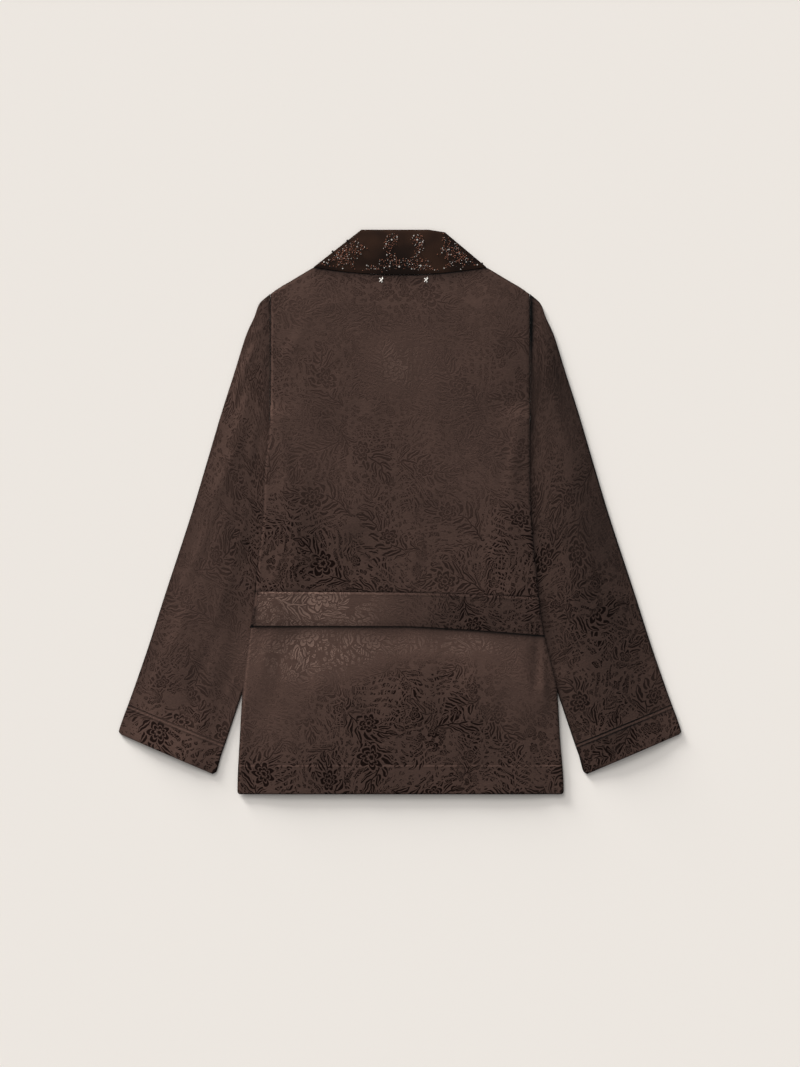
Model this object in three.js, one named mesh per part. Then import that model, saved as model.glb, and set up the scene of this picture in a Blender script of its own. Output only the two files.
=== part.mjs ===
// A short kimono-style jacket laid flat on its front, so that its back faces up.
// Millimetres: X runs from the left sleeve to the right one, Y from the hem to the collar and Z up.
import * as THREE from 'three';

// Walls of cloth
const CLOTH = 1.2; // figured satin with its backing
const BAND = 1.5; // plain satin folded double down the fronts
const COLLAR = 2; // the same band where it stands round the back of the neck
const BELT = 1.8; // half belt, folded double
const CUFF = 1.6; // turned band at the end of a sleeve

// How the layers lie
const SEAM = 0.3; // parting between two pieces that a seam joins
const NIP = 0.6; // parting between front and back cloth just inside a fold
const FLAT = 2 * CLOTH + NIP; // a tube of cloth pressed flat
const TUCKED = FLAT + 0.5; // height of the body's underside over a sleeve tucked beneath it
const TUCK_REACH = 50; // distance over which the body comes down from a tucked sleeve, sideways
const TUCK_RISE = 30; // the same from the underarm downwards
const TUCK_INSIDE = 6; // the body is fully raised this far inside the sleeve's inner fold
const TUCK_ABOVE = 16; // it begins to rise this far above the underarm
const LAP_STEP = 2; // height of the inner front where it lies on the outer one
const LAP_REACH = 60; // distance over which it comes down from there
const CROWN = 2.4; // rise of the back over what lies beneath it
const CROWN_REACH = 60; // distance from an edge over which the back rises
const PUFF = 3; // rise of a sleeve's upper wall, between its folds
const PUFF_REACH = 50; // distance from a fold over which the sleeve rises
const RIM = 5; // width of the rounding along an edge
const RIM_DROP = 0.55; // how far a face bends in at its edge
const BAND_ROUND = 0.08; // share of a front band's width that bends in at its fold
const BELT_ROUND = 0.06; // share of the belt's width that bends in at each fold
const COLLAR_ROUND = { across: 0.025, up: 0.0625 }; // the same of the collar, at its ends and folds

// Lengths that the outline is made from
const HEM_Y = -409;
const HEM_DEPTH = 42; // turned-up hem, stitched along its top
const HEM_EXTRA = 0.4; // the cloth is thicker where the hem is turned up
const NECK_X = 125; // where shoulder, neck and collar meet
const NECK_Y = 355;
const NECK_DIP = 11; // the neck seam's fall between those points
const SHOULDER_X = 188;
const SHOULDER_Y = 313;
const UNDERARM_Y = 146;

// Body's half width at each height. The left side swings out a little more above the hips.
const BODY = [
  { y: HEM_Y, left: 232.4, right: 233.9 },
  { y: HEM_Y + RIM, left: 235.7, right: 237.2 },
  { y: -322, left: 232, right: 231.6 },
  { y: -257, left: 228, right: 227.7 },
  { y: -219, left: 223.5, right: 219 },
  { y: -177, left: 218.5, right: 209.4 },
  { y: -125, left: 211.5, right: 201.5 },
  { y: -94, left: 209, right: 198.5 },
  { y: -40, left: 203, right: 193 },
  { y: 3, left: 198.5, right: 190 },
  { y: 49, left: 197.8, right: 188.8 },
  { y: 100, left: 193, right: 188.5 },
  { y: 132, left: 188.9, right: 188.5 },
  { y: UNDERARM_Y, left: 188.5, right: 188.5 },
  { y: SHOULDER_Y, left: SHOULDER_X, right: SHOULDER_X },
  { y: 325, left: 174, right: 174 },
  { y: 333.5, left: 158, right: 158 },
  { y: NECK_Y, left: NECK_X, right: NECK_X },
];

// Sections across a sleeve, from the armhole to the cuff. The inner fold is tucked under the body,
// and the last row rounds the cuff's corners.
const SLEEVE = [
  { outerX: 188.3, outerY: 313, innerX: 188.8, innerY: 146 },
  { outerX: 202, outerY: 300.5, innerX: 189.2, innerY: 134 },
  { outerX: 211, outerY: 283, innerX: 186, innerY: 108 },
  { outerX: 222, outerY: 259, innerX: 180, innerY: 76 },
  { outerX: 240.7, outerY: 200, innerX: 172, innerY: 28 },
  { outerX: 258, outerY: 146, innerX: 166, innerY: -12 },
  { outerX: 279, outerY: 75, innerX: 165, innerY: -60 },
  { outerX: 300.5, outerY: 3, innerX: 175, innerY: -112 },
  { outerX: 340, outerY: -118, innerX: 203, innerY: -188 },
  { outerX: 368, outerY: -205, innerX: 228.4, innerY: -262 },
  { outerX: 390.5, outerY: -279, innerX: 253.5, innerY: -337 },
  { outerX: 400, outerY: -297, innerX: 259.5, innerY: -354 },
  { outerX: 407.5, outerY: -318, innerX: 266.2, innerY: -376.5 },
  { outerX: 404.4, outerY: -322.4, innerX: 271.2, innerY: -379.7 },
];
const CUFF_ROW = 10; // the row of that table where the cuff is sewn on
const CUFF_PARTING = 0.004; // share of a row left open on each side of that seam
const CUFF_EXTRA = 0.4; // the turned cuff is a little higher than the sleeve
const RING = 24; // points round a sleeve

// Front edge of the outer front, from the neck to the hem: its seam, and the band's reach beyond it.
const FRONT_EDGE = [
  { y: NECK_Y, seam: -125, reach: 71, rise: 51 },
  { y: 325, seam: -113, reach: 64, rise: 34 },
  { y: 280, seam: -96, reach: 61, rise: 24 },
  { y: 160, seam: -54, reach: 61, rise: 22 },
  { y: 0, seam: 8, reach: 61, rise: 22 },
  { y: -100, seam: 46, reach: 63, rise: 15 },
  { y: -200, seam: 68, reach: 65, rise: 5 },
  { y: HEM_Y, seam: 88, reach: 65, rise: 0 },
];
const BAND_SPREAD = 74; // reach of the band across the jacket, allowing for its slant

// The collar band behind the neck: its upper fold is shorter than the neck seam, and bends on the right.
const COLLAR_TOP = [
  { x: -54, y: 409 },
  { x: 42, y: 409 },
  { x: 64, y: 405.3 },
];
const COLLAR_SWELL = 1.6; // the folded band stays a little open between its edges
const COLLAR_SWELL_REACH = 1 / 6; // share of its width over which that opening grows

// Half belt across the back, lower on the right.
const BELT_EDGES = [
  { x: -212, top: -115.5, foot: -165 },
  { x: 0, top: -117, foot: -165.5 },
  { x: 83, top: -119, foot: -169.5 },
  { x: 206, top: -124, foot: -178.5 },
];
const BELT_LIFT = 0.5; // parting between the belt and the back
const BELT_ENDS = { left: 5, right: 1 }; // how far each end stops inside the side fold
const BELT_LEVELS = { left: -140, right: -150 }; // the height of its middle at each end

// Soft ridges in the back: middle, upper and lower end, half width and height.
const RIDGES = [
  { x: 204, top: -176, foot: -300, half: 16, rise: 1.1 },
  { x: -152, top: -170, foot: -270, half: 22, rise: 0.9 },
  { x: 24, top: -168, foot: -350, half: 34, rise: 0.9 },
  { x: -70, top: 130, foot: -112, half: 36, rise: 0.9 },
  { x: 116, top: 100, foot: -116, half: 30, rise: 1 },
  { x: -10, top: 330, foot: 120, half: 44, rise: 0.7 },
];

const FIGURED = { color: 0x3f312c, roughness: 0.55, metalness: 0 };
const PLAIN = { color: 0x2c1e18, roughness: 0.4, metalness: 0 };

// Heights at which the body's pieces have a row of points, up to where the armhole begins.
const BODY_ROWS = [
  HEM_Y, HEM_Y + RIM, -390, HEM_Y + HEM_DEPTH - RIM, HEM_Y + HEM_DEPTH, -335, -300, -262,
  -225, -190, -160, -130, -95, -50, 0, 50, 80, 100, 115, 126, 132, 139, 146, 153, 162,
];

// Share of the way from 0 to 1, level at both ends.
function ease(t) {
  return THREE.MathUtils.smoothstep(t, 0, 1);
}

// Value of a column at a height or place, straight between the rows of a table.
function column(rows, key, name, at) {
  const rising = rows[0][key] < rows.at(-1)[key];
  const sorted = rising ? rows : rows.toReversed();
  const next = sorted.findIndex((row) => row[key] >= at);
  if (next === 0) return sorted[0][name];
  if (next < 0) return sorted.at(-1)[name];
  const [before, after] = [sorted[next - 1], sorted[next]];
  return THREE.MathUtils.mapLinear(at, before[key], after[key], before[name], after[name]);
}

const halfWidth = (x, y) => column(BODY, 'y', x < 0 ? 'left' : 'right', y);
const frontSeam = (y) => column(FRONT_EDGE, 'y', 'seam', y);

// Upper edge of the back: the neck seam between the neck points, and the shoulder line outside them.
function backTop(x) {
  const across = Math.abs(x) / NECK_X;
  if (across <= 1) return NECK_Y - NECK_DIP * (1 - across ** 2);
  return column(BODY.slice(-4), 'left', 'y', Math.abs(x));
}

// Height of the outer layer's underside: on the table, or over the inner part of a sleeve.
function underside(x, y) {
  const tuckX = column(SLEEVE, 'innerY', 'innerX', y);
  const sideways = ease((Math.abs(x) - tuckX + TUCK_REACH + TUCK_INSIDE) / TUCK_REACH);
  const downwards = ease((UNDERARM_Y + TUCK_ABOVE - y) / TUCK_RISE);
  return TUCKED * sideways * downwards;
}

// Share of the lap: 1 over the outer front and its band, 0 clear of them.
function lap(x, y) {
  return ease(1 - (x - frontSeam(y) - BAND_SPREAD) / LAP_REACH);
}

// Height that the soft ridges add at a point of the back.
function ridges(x, y) {
  return RIDGES.reduce((sum, ridge) => {
    const along = (y - ridge.foot) / (ridge.top - ridge.foot);
    const across = (x - ridge.x) / ridge.half;
    if (along <= 0 || along >= 1 || Math.abs(across) >= 1) return sum;
    return sum + ridge.rise * Math.sin(Math.PI * along) ** 2 * Math.cos((Math.PI / 2) * across) ** 2;
  }, 0);
}

// Distance from a point of the body to its nearest side fold, shoulder or neck seam.
function fromRim(x, y) {
  return Math.max(0, Math.min(halfWidth(x, y) - Math.abs(x), backTop(x) - y));
}

// Rounding of a face near an edge: how far it bends in at this distance.
function rounding(distance) {
  return RIM_DROP * (1 - ease(distance / RIM));
}

// Extra cloth in the turned-up hem.
function hem(y) {
  return HEM_EXTRA * ease((HEM_Y + HEM_DEPTH - y) / RIM);
}

// Underside of the back, over the fronts.
function backUnder(x, y) {
  const rim = fromRim(x, y);
  const nearNeck = ease((y - UNDERARM_Y) / (SHOULDER_Y - UNDERARM_Y));
  const parting = THREE.MathUtils.lerp(SEAM, NIP, Math.max(nearNeck, ease(rim / RIM)));
  return underside(x, y) + CLOTH + hem(y) + parting + CROWN * ease(rim / CROWN_REACH) + ridges(x, y);
}

// Turns the faces of a closed mesh outwards if its volume comes out negative.
function facingOut(geometry) {
  const point = geometry.getAttribute('position');
  const index = geometry.getIndex();
  const corner = [new THREE.Vector3(), new THREE.Vector3(), new THREE.Vector3()];
  let volume = 0;
  for (let i = 0; i < index.count; i += 3) {
    corner.forEach((vertex, k) => vertex.fromBufferAttribute(point, index.getX(i + k)));
    volume += corner[0].dot(corner[1].clone().cross(corner[2]));
  }
  if (volume < 0) {
    for (let i = 0; i < index.count; i += 3) {
      const first = index.getX(i);
      index.setX(i, index.getX(i + 1));
      index.setX(i + 1, first);
    }
  }
  return geometry;
}

function clothMesh(name, points, triangles, finish) {
  const geometry = new THREE.BufferGeometry();
  geometry.setAttribute('position', new THREE.Float32BufferAttribute(points.flat(), 3));
  geometry.setIndex(triangles);
  facingOut(geometry);
  geometry.computeVertexNormals();
  const mesh = new THREE.Mesh(geometry, new THREE.MeshStandardMaterial(finish));
  mesh.name = name;
  return mesh;
}

// A wall of cloth over a grid. place(u, v) gives x, y and the heights of the two faces there.
function panel(name, across, along, place, finish) {
  const points = [];
  for (const face of ['top', 'under']) {
    for (const v of along) {
      for (const u of across) {
        const spot = place(u, v);
        points.push([spot.x, spot.y, spot[face]]);
      }
    }
  }
  const wide = across.length;
  const layer = wide * along.length;
  const triangles = [];
  const quad = (a, b, c, d) => triangles.push(a, b, c, a, c, d);
  for (let j = 0; j < along.length - 1; j += 1) {
    for (let i = 0; i < wide - 1; i += 1) {
      const a = j * wide + i;
      quad(a, a + 1, a + wide + 1, a + wide);
      quad(layer + a, layer + a + wide, layer + a + wide + 1, layer + a + 1);
    }
  }
  for (let i = 0; i < wide - 1; i += 1) {
    const last = layer - wide + i;
    quad(i, layer + i, layer + i + 1, i + 1);
    quad(last, last + 1, layer + last + 1, layer + last);
  }
  for (let j = 0; j < along.length - 1; j += 1) {
    const left = j * wide;
    const right = left + wide - 1;
    quad(left, left + wide, layer + left + wide, layer + left);
    quad(right, layer + right, layer + right + wide, right + wide);
  }
  return clothMesh(name, points, triangles, finish);
}

// An open tube of cloth: sections is a list of { outer, inner }, each a closed ring of points.
function tube(name, sections, finish) {
  const around = sections[0].outer.length;
  const points = [...sections.flatMap((s) => s.outer), ...sections.flatMap((s) => s.inner)];
  const layer = around * sections.length;
  const triangles = [];
  const quad = (a, b, c, d) => triangles.push(a, b, c, a, c, d);
  for (let i = 0; i < around; i += 1) {
    const next = (i + 1) % around;
    for (let j = 0; j < sections.length - 1; j += 1) {
      const row = j * around;
      quad(row + i, row + next, row + around + next, row + around + i);
      const under = layer + row;
      quad(under + i, under + around + i, under + around + next, under + next);
    }
    const last = layer - around;
    quad(i, layer + i, layer + next, next);
    quad(last + i, last + next, layer + last + next, layer + last + i);
  }
  return clothMesh(name, points, triangles, finish);
}

// The back, from the hem to the neck and shoulder seams.
function back() {
  const across = [
    0, 0.012, 0.03, 0.065, 0.105, 0.145, 0.2, 0.27, 0.35, 0.43, 0.5,
    0.57, 0.65, 0.73, 0.8, 0.855, 0.895, 0.935, 0.97, 0.988, 1,
  ];
  const armhole = [0.2, 0.42, 0.64, 0.82, 0.93, 0.98, 1];
  const start = BODY_ROWS.at(-1);
  const along = [...BODY_ROWS.map((y) => ({ y })), ...armhole.map((share) => ({ share }))];
  return panel('back', across, along, (u, v) => {
    const top = backTop(THREE.MathUtils.lerp(-SHOULDER_X, SHOULDER_X, u)) - SEAM;
    const y = v.y ?? THREE.MathUtils.lerp(start, top, v.share);
    const sideY = Math.min(y, SHOULDER_Y);
    const x = THREE.MathUtils.lerp(-halfWidth(-1, sideY) + SEAM / 2, halfWidth(1, sideY) - SEAM / 2, u);
    const under = backUnder(x, y);
    return { x, y, under, top: under + CLOTH + hem(y) - rounding(fromRim(x, y)) };
  }, FIGURED);
}

// A front, from its side fold to the seam of its band. The right one lies inside the left one.
function front(side) {
  const across = [0, 0.018, 0.06, 0.12, 0.19, 0.27, 0.38, 0.52, 0.68, 0.84, 1];
  const along = [...BODY_ROWS, 200, 240, 280, 300, SHOULDER_Y, 325, 333.5, 344, 351];
  const sign = side === 'left' ? -1 : 1;
  return panel(`front_${side}`, across, along, (u, y) => {
    const fold = sign * (halfWidth(sign, y) - SEAM / 2);
    const edge = -sign * (frontSeam(y) - SEAM / 2);
    const x = THREE.MathUtils.lerp(fold, edge, u);
    const base = underside(x, y) + (side === 'right' ? LAP_STEP * lap(x, y) : 0);
    return { x, y, under: base + rounding(Math.abs(x - fold)), top: base + CLOTH + hem(y) };
  }, FIGURED);
}

// The satin band along a front's edge, from the back of the neck to the hem.
function frontBand(side) {
  const across = [0, BAND_ROUND, 0.5, 1 - BAND_ROUND, 1];
  const along = [...BODY_ROWS, 200, 240, 280, 300, SHOULDER_Y, 325, 333.5, 344, 351, NECK_Y];
  const sign = side === 'left' ? -1 : 1;
  return panel(`band_${side}`, across, along, (u, level) => {
    const seam = -sign * (frontSeam(level) + SEAM / 2);
    const x = seam - sign * u * column(FRONT_EDGE, 'y', 'reach', level);
    const y = level + u * column(FRONT_EDGE, 'y', 'rise', level);
    const base = underside(x, y) + (side === 'right' ? LAP_STEP * lap(x, y) : 0);
    const bend = RIM_DROP * Math.max(0, (u - 1 + BAND_ROUND) / BAND_ROUND);
    return { x, y, under: base, top: base + BAND - bend };
  }, PLAIN);
}

// The collar band behind the neck, lying back from the neck seam to its folded upper edge.
function collarBack() {
  const across = [0, 0.025, 0.08, 0.18, 0.3, 0.42, 0.54, 0.66, 0.76, 0.815, 0.89, 0.965, 0.99, 1];
  const along = [0, 0.07, 0.3, 0.55, 0.8, 0.94, 1];
  return panel('collar_back', across, along, (u, v) => {
    const seamX = THREE.MathUtils.lerp(-NECK_X, NECK_X, u);
    const topX = THREE.MathUtils.lerp(COLLAR_TOP.at(0).x, COLLAR_TOP.at(-1).x, u);
    const topY = column(COLLAR_TOP, 'x', 'y', topX);
    const x = THREE.MathUtils.lerp(seamX, topX, v);
    const y = THREE.MathUtils.lerp(backTop(seamX), topY, v);
    const end = Math.min(u, 1 - u);
    const edge = Math.min(end / COLLAR_ROUND.across, Math.min(v, 1 - v) / COLLAR_ROUND.up);
    const swell = COLLAR_SWELL * Math.sin(Math.PI * v) * ease(end / COLLAR_SWELL_REACH);
    const under = CLOTH + NIP;
    return { x, y, under, top: under + COLLAR + swell - RIM_DROP * (1 - ease(edge)) };
  }, PLAIN);
}

// The half belt, lying on the back and caught at both side folds.
function beltBack() {
  const across = [
    0, 0.01, 0.05, 0.1, 0.15, 0.22, 0.3, 0.4, 0.5, 0.6, 0.7, 0.78, 0.85, 0.9, 0.95, 0.99, 1,
  ];
  const along = [0, BELT_ROUND, 0.35, 0.65, 1 - BELT_ROUND, 1];
  return panel('belt_back', across, along, (u, v) => {
    const leftEnd = -halfWidth(-1, BELT_LEVELS.left);
    const rough = THREE.MathUtils.lerp(leftEnd, halfWidth(1, BELT_LEVELS.right), u);
    const foot = column(BELT_EDGES, 'x', 'foot', rough);
    const y = THREE.MathUtils.lerp(foot, column(BELT_EDGES, 'x', 'top', rough), v);
    const [left, right] = [halfWidth(-1, y) - BELT_ENDS.left, halfWidth(1, y) - BELT_ENDS.right];
    const x = THREE.MathUtils.lerp(-left, right, u);
    const under = backUnder(x, y) + CLOTH + BELT_LIFT;
    const edge = Math.min(v, 1 - v) / BELT_ROUND;
    return { x, y, under, top: under + BELT - RIM_DROP * (1 - ease(edge)) };
  }, FIGURED);
}

// Points along one edge of a sleeve, from the armhole to the cuff's end.
function sleeveEdge(xName, yName) {
  const points = SLEEVE.map((row) => new THREE.Vector3(row[xName], row[yName], 0));
  return new THREE.CatmullRomCurve3(points, false, 'centripetal');
}

const OUTER_FOLD = sleeveEdge('outerX', 'outerY');
const INNER_FOLD = sleeveEdge('innerX', 'innerY');

// One section of a sleeve or cuff, pressed flat on the table: the wall's outer and inner rings.
function sleeveSection(sign, row, wall, extra) {
  const outer = OUTER_FOLD.getPoint(row / (SLEEVE.length - 1));
  const inner = INNER_FOLD.getPoint(row / (SLEEVE.length - 1));
  const half = outer.distanceTo(inner) / 2;
  const fold = RIM / 2;
  const ring = (inset) => Array.from({ length: RING }, (_, k) => {
    const angle = (2 * Math.PI * k) / RING;
    const share = -Math.cos(angle) * (1 - inset / half);
    const spot = inner.clone().lerp(outer, (1 + share) / 2);
    const toFold = half * (1 - Math.abs(share));
    const open = Math.sqrt(1 - (1 - Math.min(1, Math.max(0, toFold - inset) / fold)) ** 2);
    const bodyX = halfWidth(sign, Math.min(spot.y, SHOULDER_Y));
    const clearOfBody = ease((spot.x - bodyX - RIM) / PUFF_REACH);
    const clearOfOuter = ease((half * (1 - share)) / PUFF_REACH);
    const clearOfInner = ease((half * (1 + share)) / PUFF_REACH);
    const middle = (FLAT + extra) / 2;
    const lift = k < RING / 2 ? middle + PUFF * clearOfBody * clearOfOuter * clearOfInner : middle;
    const level = Math.sign(Math.round(Math.sin(angle) * 1e6));
    return [sign * spot.x, spot.y, middle + level * Math.max(0, lift - inset) * open];
  });
  return { outer: ring(0), inner: ring(wall) };
}

function sleeve(side) {
  const rows = [
    0, 0.5, 1, 1.5, 2, 2.75, 3.5, 4.25, 5, 5.75, 6.5, 7.25, 8, 9, CUFF_ROW - CUFF_PARTING,
  ];
  const sign = side === 'left' ? -1 : 1;
  return tube(`sleeve_${side}`, rows.map((row) => sleeveSection(sign, row, CLOTH, 0)), FIGURED);
}

function cuff(side) {
  const rows = [CUFF_ROW + CUFF_PARTING, CUFF_ROW + 0.08, 11, 12, 12.5, 13];
  const sign = side === 'left' ? -1 : 1;
  return tube(`cuff_${side}`, rows.map((row) => sleeveSection(sign, row, CUFF, CUFF_EXTRA)), FIGURED);
}

const jacket = new THREE.Group();
jacket.add(back(), collarBack(), beltBack());
for (const side of ['left', 'right']) {
  jacket.add(front(side), frontBand(side), sleeve(side), cuff(side));
}

// The origin is under the middle of the whole jacket, on the table.
const box = new THREE.Box3().setFromObject(jacket);
const middle = box.getCenter(new THREE.Vector3());
jacket.position.set(-middle.x, -middle.y, -box.min.z);

export default jacket;
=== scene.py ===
# %% [markdown]
# # A short kimono-style jacket, laid on its front
# We build the looks of a satin jacket that lies flat on a pale floor with its back up:
# a back, two fronts, two sleeves with turned cuffs, a half belt and a dark satin collar
# band with a spray of glass beads.
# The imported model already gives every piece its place. Here each piece gets a thinner,
# finer shell of the same form, with creases, stitching and a woven flower pattern.

import bpy
import numpy as np
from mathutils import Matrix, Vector


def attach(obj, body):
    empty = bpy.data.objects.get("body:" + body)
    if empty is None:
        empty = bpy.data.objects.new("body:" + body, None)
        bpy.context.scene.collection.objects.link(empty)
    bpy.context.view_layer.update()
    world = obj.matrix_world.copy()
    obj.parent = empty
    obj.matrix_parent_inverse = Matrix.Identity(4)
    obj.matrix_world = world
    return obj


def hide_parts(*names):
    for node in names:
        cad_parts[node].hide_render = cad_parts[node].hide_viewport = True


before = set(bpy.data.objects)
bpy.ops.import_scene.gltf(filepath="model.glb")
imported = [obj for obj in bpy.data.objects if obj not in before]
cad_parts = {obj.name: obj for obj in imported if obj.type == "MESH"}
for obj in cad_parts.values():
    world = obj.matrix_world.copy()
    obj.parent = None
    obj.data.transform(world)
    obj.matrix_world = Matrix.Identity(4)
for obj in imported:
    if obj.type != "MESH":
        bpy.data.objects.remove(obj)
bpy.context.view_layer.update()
print("CAD pieces:", ", ".join(sorted(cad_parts)))

# %% [markdown]
# ## The sizes the jacket is drawn from
# A maker starts from a few widths measured at set heights. We keep them in tables, in
# millimetres: X runs from the left sleeve to the right one, Y from the hem to the collar
# and Z up from the floor. A smooth curve through each table gives the edge between rows.

# %% Tables of the cut
MM = 0.001
CLOTH, BAND, COLLAR, BELT, CUFF = 1.2, 1.5, 2.0, 1.8, 1.6  # walls
SEAM, NIP = 0.3, 0.6  # partings at a seam, and inside a fold
FLAT = 2 * CLOTH + NIP  # a tube of cloth pressed flat
TUCKED, TUCK_REACH = FLAT + 0.5, 50  # the body lies over the inner part of a sleeve
TUCK_RISE, TUCK_INSIDE, TUCK_ABOVE = 30, 6, 16  # how it rises to lie over it
LAP_STEP, LAP_REACH, BAND_SPREAD = 2.0, 60, 74  # the inner front lies on the outer one
CROWN, CROWN_REACH = 2.4, 60  # the back rises towards its middle
PUFF, PUFF_REACH = 3.0, 50  # and so does the upper wall of a sleeve
RIM, RIM_DROP = 5.0, 0.55  # how cloth rolls over at an edge
HEM_Y, HEM_DEPTH, HEM_EXTRA, HEM_STEP = -409.0, 42.0, 0.4, 2.0
STITCH_DEPTH, STITCH_WIDTH = 0.1, 1.6  # the hem's stitched line
NECK_X, NECK_Y, NECK_DIP = 125.0, 355.0, 11.0
SHOULDER_X, SHOULDER_Y, UNDERARM_Y = 188.0, 316.0, 146.0
COLLAR_SWELL, COLLAR_DENT, COLLAR_EDGE = 1.6, 0.35, 0.025
BELT_PARTING, BELT_PUFF, BELT_WAVE, BELT_EDGE = 0.35, 0.5, 0.3, 0.06
BELT_LENGTH, BELT_WIDTH = 417, 51

BODY = np.array([  # y, half width on the left, on the right
    (-409, 232.4, 233.9), (-407.6, 234.6, 236.1), (-404, 235.7, 237.2), (-322, 232, 231.6),
    (-257, 228, 227.7), (-219, 223.5, 219), (-177, 218.5, 209.4), (-125, 211.5, 201.5),
    (-94, 209, 198.5), (-40, 203, 193),
    (3, 198.5, 190), (49, 197.8, 188.8), (100, 193, 188.5), (132, 188.9, 188.5),
    (146, 188.5, 188.5), (316, 188, 188),
])
SHOULDER = np.array([(125, 355), (158, 335), (175.5, 325), (188, 316)])  # x, y
SLEEVE = np.array([  # outer fold x and y, inner fold x and y
    (188.3, 316, 188.8, 146), (204, 301.5, 189.2, 134), (211, 283, 186, 108),
    (222, 259, 180, 76), (240.7, 200, 172, 28), (258, 146, 166, -12), (279, 75, 165, -60),
    (300.5, 3, 175, -112), (340, -118, 203, -188), (368, -205, 228.4, -262),
    (394, -279, 253.5, -337), (400.8, -297, 259.5, -354), (407.5, -318, 266.2, -376.5),
    (404.4, -322.4, 271.2, -379.7),
])
CUFF_ROW = 10.0
FRONT_EDGE = np.array([  # y, seam x, reach of the band and its rise
    (355, -125, 71, 51), (325, -113, 64, 34), (280, -96, 61, 24), (160, -54, 61, 22),
    (0, 8, 61, 22), (-100, 46, 63, 15), (-200, 68, 65, 5), (-409, 88, 65, 0),
])
COLLAR_TOP = np.array([(-56, 409), (42, 409), (65, 405.3)])  # x, y of the folded edge
BELT_EDGES = np.array([  # x, top y, foot y
    (-212, -115.5, -165), (0, -117, -165.5), (83, -119, -169.5), (206, -124, -178.5),
])
BELT_ENDS = {"left": 5.0, "right": 1.0}
RIDGES = np.array([  # x, top y, foot y, half width, rise
    (204, -176, -300, 16, 1.1), (-152, -170, -270, 22, 0.9), (24, -168, -350, 34, 0.9),
    (-70, 130, -112, 36, 0.9), (116, 100, -116, 30, 1.0), (-10, 330, 120, 44, 0.7),
])
print("tables ready: hem", HEM_Y, "neck", NECK_Y)


# %% [markdown]
# ## Curves
# Cloth never turns a sharp corner where it comes down from an edge, so a soft step that is
# level at both ends blends one height into the next. A table could be joined by straight
# lines or a spline; a cubic that never overshoots its rows keeps the edges free of bulges.

# %% Curve functions
def ease(t):
    """Soft step: 3t² - 2t³ for t between 0 and 1, level at both ends."""
    t = np.clip(t, 0.0, 1.0)
    return t * t * (3.0 - 2.0 * t)


def mix(a, b, t):
    """a + (b - a) t."""
    return a + (b - a) * t


def bell(distance, width):
    """exp(-(distance / width)²): 1 at the place, falling softly to 0 on both sides."""
    return np.exp(-((distance / width) ** 2))


def curve(places, values, at):
    """Cubic through the rows; the slope at a row is the harmonic mean of those beside it."""
    order = np.argsort(places)
    places, values = np.asarray(places, float)[order], np.asarray(values, float)[order]
    steps = np.diff(values) / np.diff(places)
    before, after = steps[:-1], steps[1:]
    turns = before * after <= 0
    middle = np.where(turns, 0, 2 * before * after / np.where(turns, 1, before + after))
    slope = np.concatenate([steps[:1], middle, steps[-1:]])
    at = np.clip(at, places[0], places[-1])
    k = np.clip(np.searchsorted(places, at, side="right") - 1, 0, len(steps) - 1)
    wide = places[k + 1] - places[k]
    t = (at - places[k]) / wide
    ends = values[k] * (1 + 2 * t) * (1 - t) ** 2 + values[k + 1] * t * t * (3 - 2 * t)
    return ends + wide * (slope[k] * t * (1 - t) ** 2 - slope[k + 1] * t * t * (1 - t))


# %% [markdown]
# ## The edges of the body
# Every outline is read from the tables: the side folds, the neck and shoulder seams and
# the seam of the front band. The panels, the belt and the collar all ask these functions,
# so that neighbours share one line.

# %% Edges
def half_width(sign, y):
    """Half width of the body at height y; above the shoulder point, along the shoulder."""
    below = curve(BODY[:, 0], BODY[:, 1 if sign < 0 else 2], np.minimum(y, SHOULDER_Y))
    above = np.interp(-y, -SHOULDER[:, 1], SHOULDER[:, 0])
    return np.where(y > SHOULDER_Y, above, below)


def side_of(x, y):
    """Half width on the side that x is on."""
    return np.where(x < 0, half_width(-1, y), half_width(1, y))


def back_top(x):
    """Upper edge: y = neck - dip (1 - (x / neck x)²) in the neck, the shoulder outside."""
    across = np.abs(x) / NECK_X
    neck = NECK_Y - NECK_DIP * (1 - across**2)
    return np.where(across <= 1, neck, np.interp(np.abs(x), SHOULDER[:, 0], SHOULDER[:, 1]))


# %% [markdown]
# ## What lifts the cloth
# Cloth lying flat is a stack of thin layers. A sleeve tucked beneath the body, the lap of
# the fronts, a pleat and every crease lift the layers above them. Each is a small function
# of the place that adds its own height, because the heights of thin layers can be summed.

# %% Heights
def underside(x, y):
    """Height of the outer layer: 0, or over the part of a sleeve tucked beneath it."""
    tuck = np.interp(y, SLEEVE[::-1, 3], SLEEVE[::-1, 2])
    sideways = ease((np.abs(x) - tuck + TUCK_REACH + TUCK_INSIDE) / TUCK_REACH)
    return TUCKED * sideways * ease((UNDERARM_Y + TUCK_ABOVE - y) / TUCK_RISE)


def front_seam(y):
    """x of the seam between the outer front and its band."""
    return curve(FRONT_EDGE[:, 0], FRONT_EDGE[:, 1], y)


def lap(x, y):
    """1 over the outer front and its band, falling softly to 0 beyond them."""
    return ease(1 - (x - front_seam(y) - BAND_SPREAD) / LAP_REACH)


def ridges(x, y):
    """Sum of rise sin²(pi along) cos²(pi/2 across) over the table's ridges."""
    total = np.zeros(np.broadcast(x, y).shape)
    for middle, top, foot, half, rise in RIDGES:
        along = np.clip((y - foot) / (top - foot), 0, 1)
        across = np.clip((x - middle) / half, -1, 1)
        total += rise * np.sin(np.pi * along) ** 2 * np.cos(np.pi / 2 * across) ** 2
    return total


def from_rim(x, y):
    """Distance to the nearest side fold, shoulder or neck seam."""
    return np.maximum(0, np.minimum(side_of(x, y) - np.abs(x), back_top(x) - y))


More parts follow.
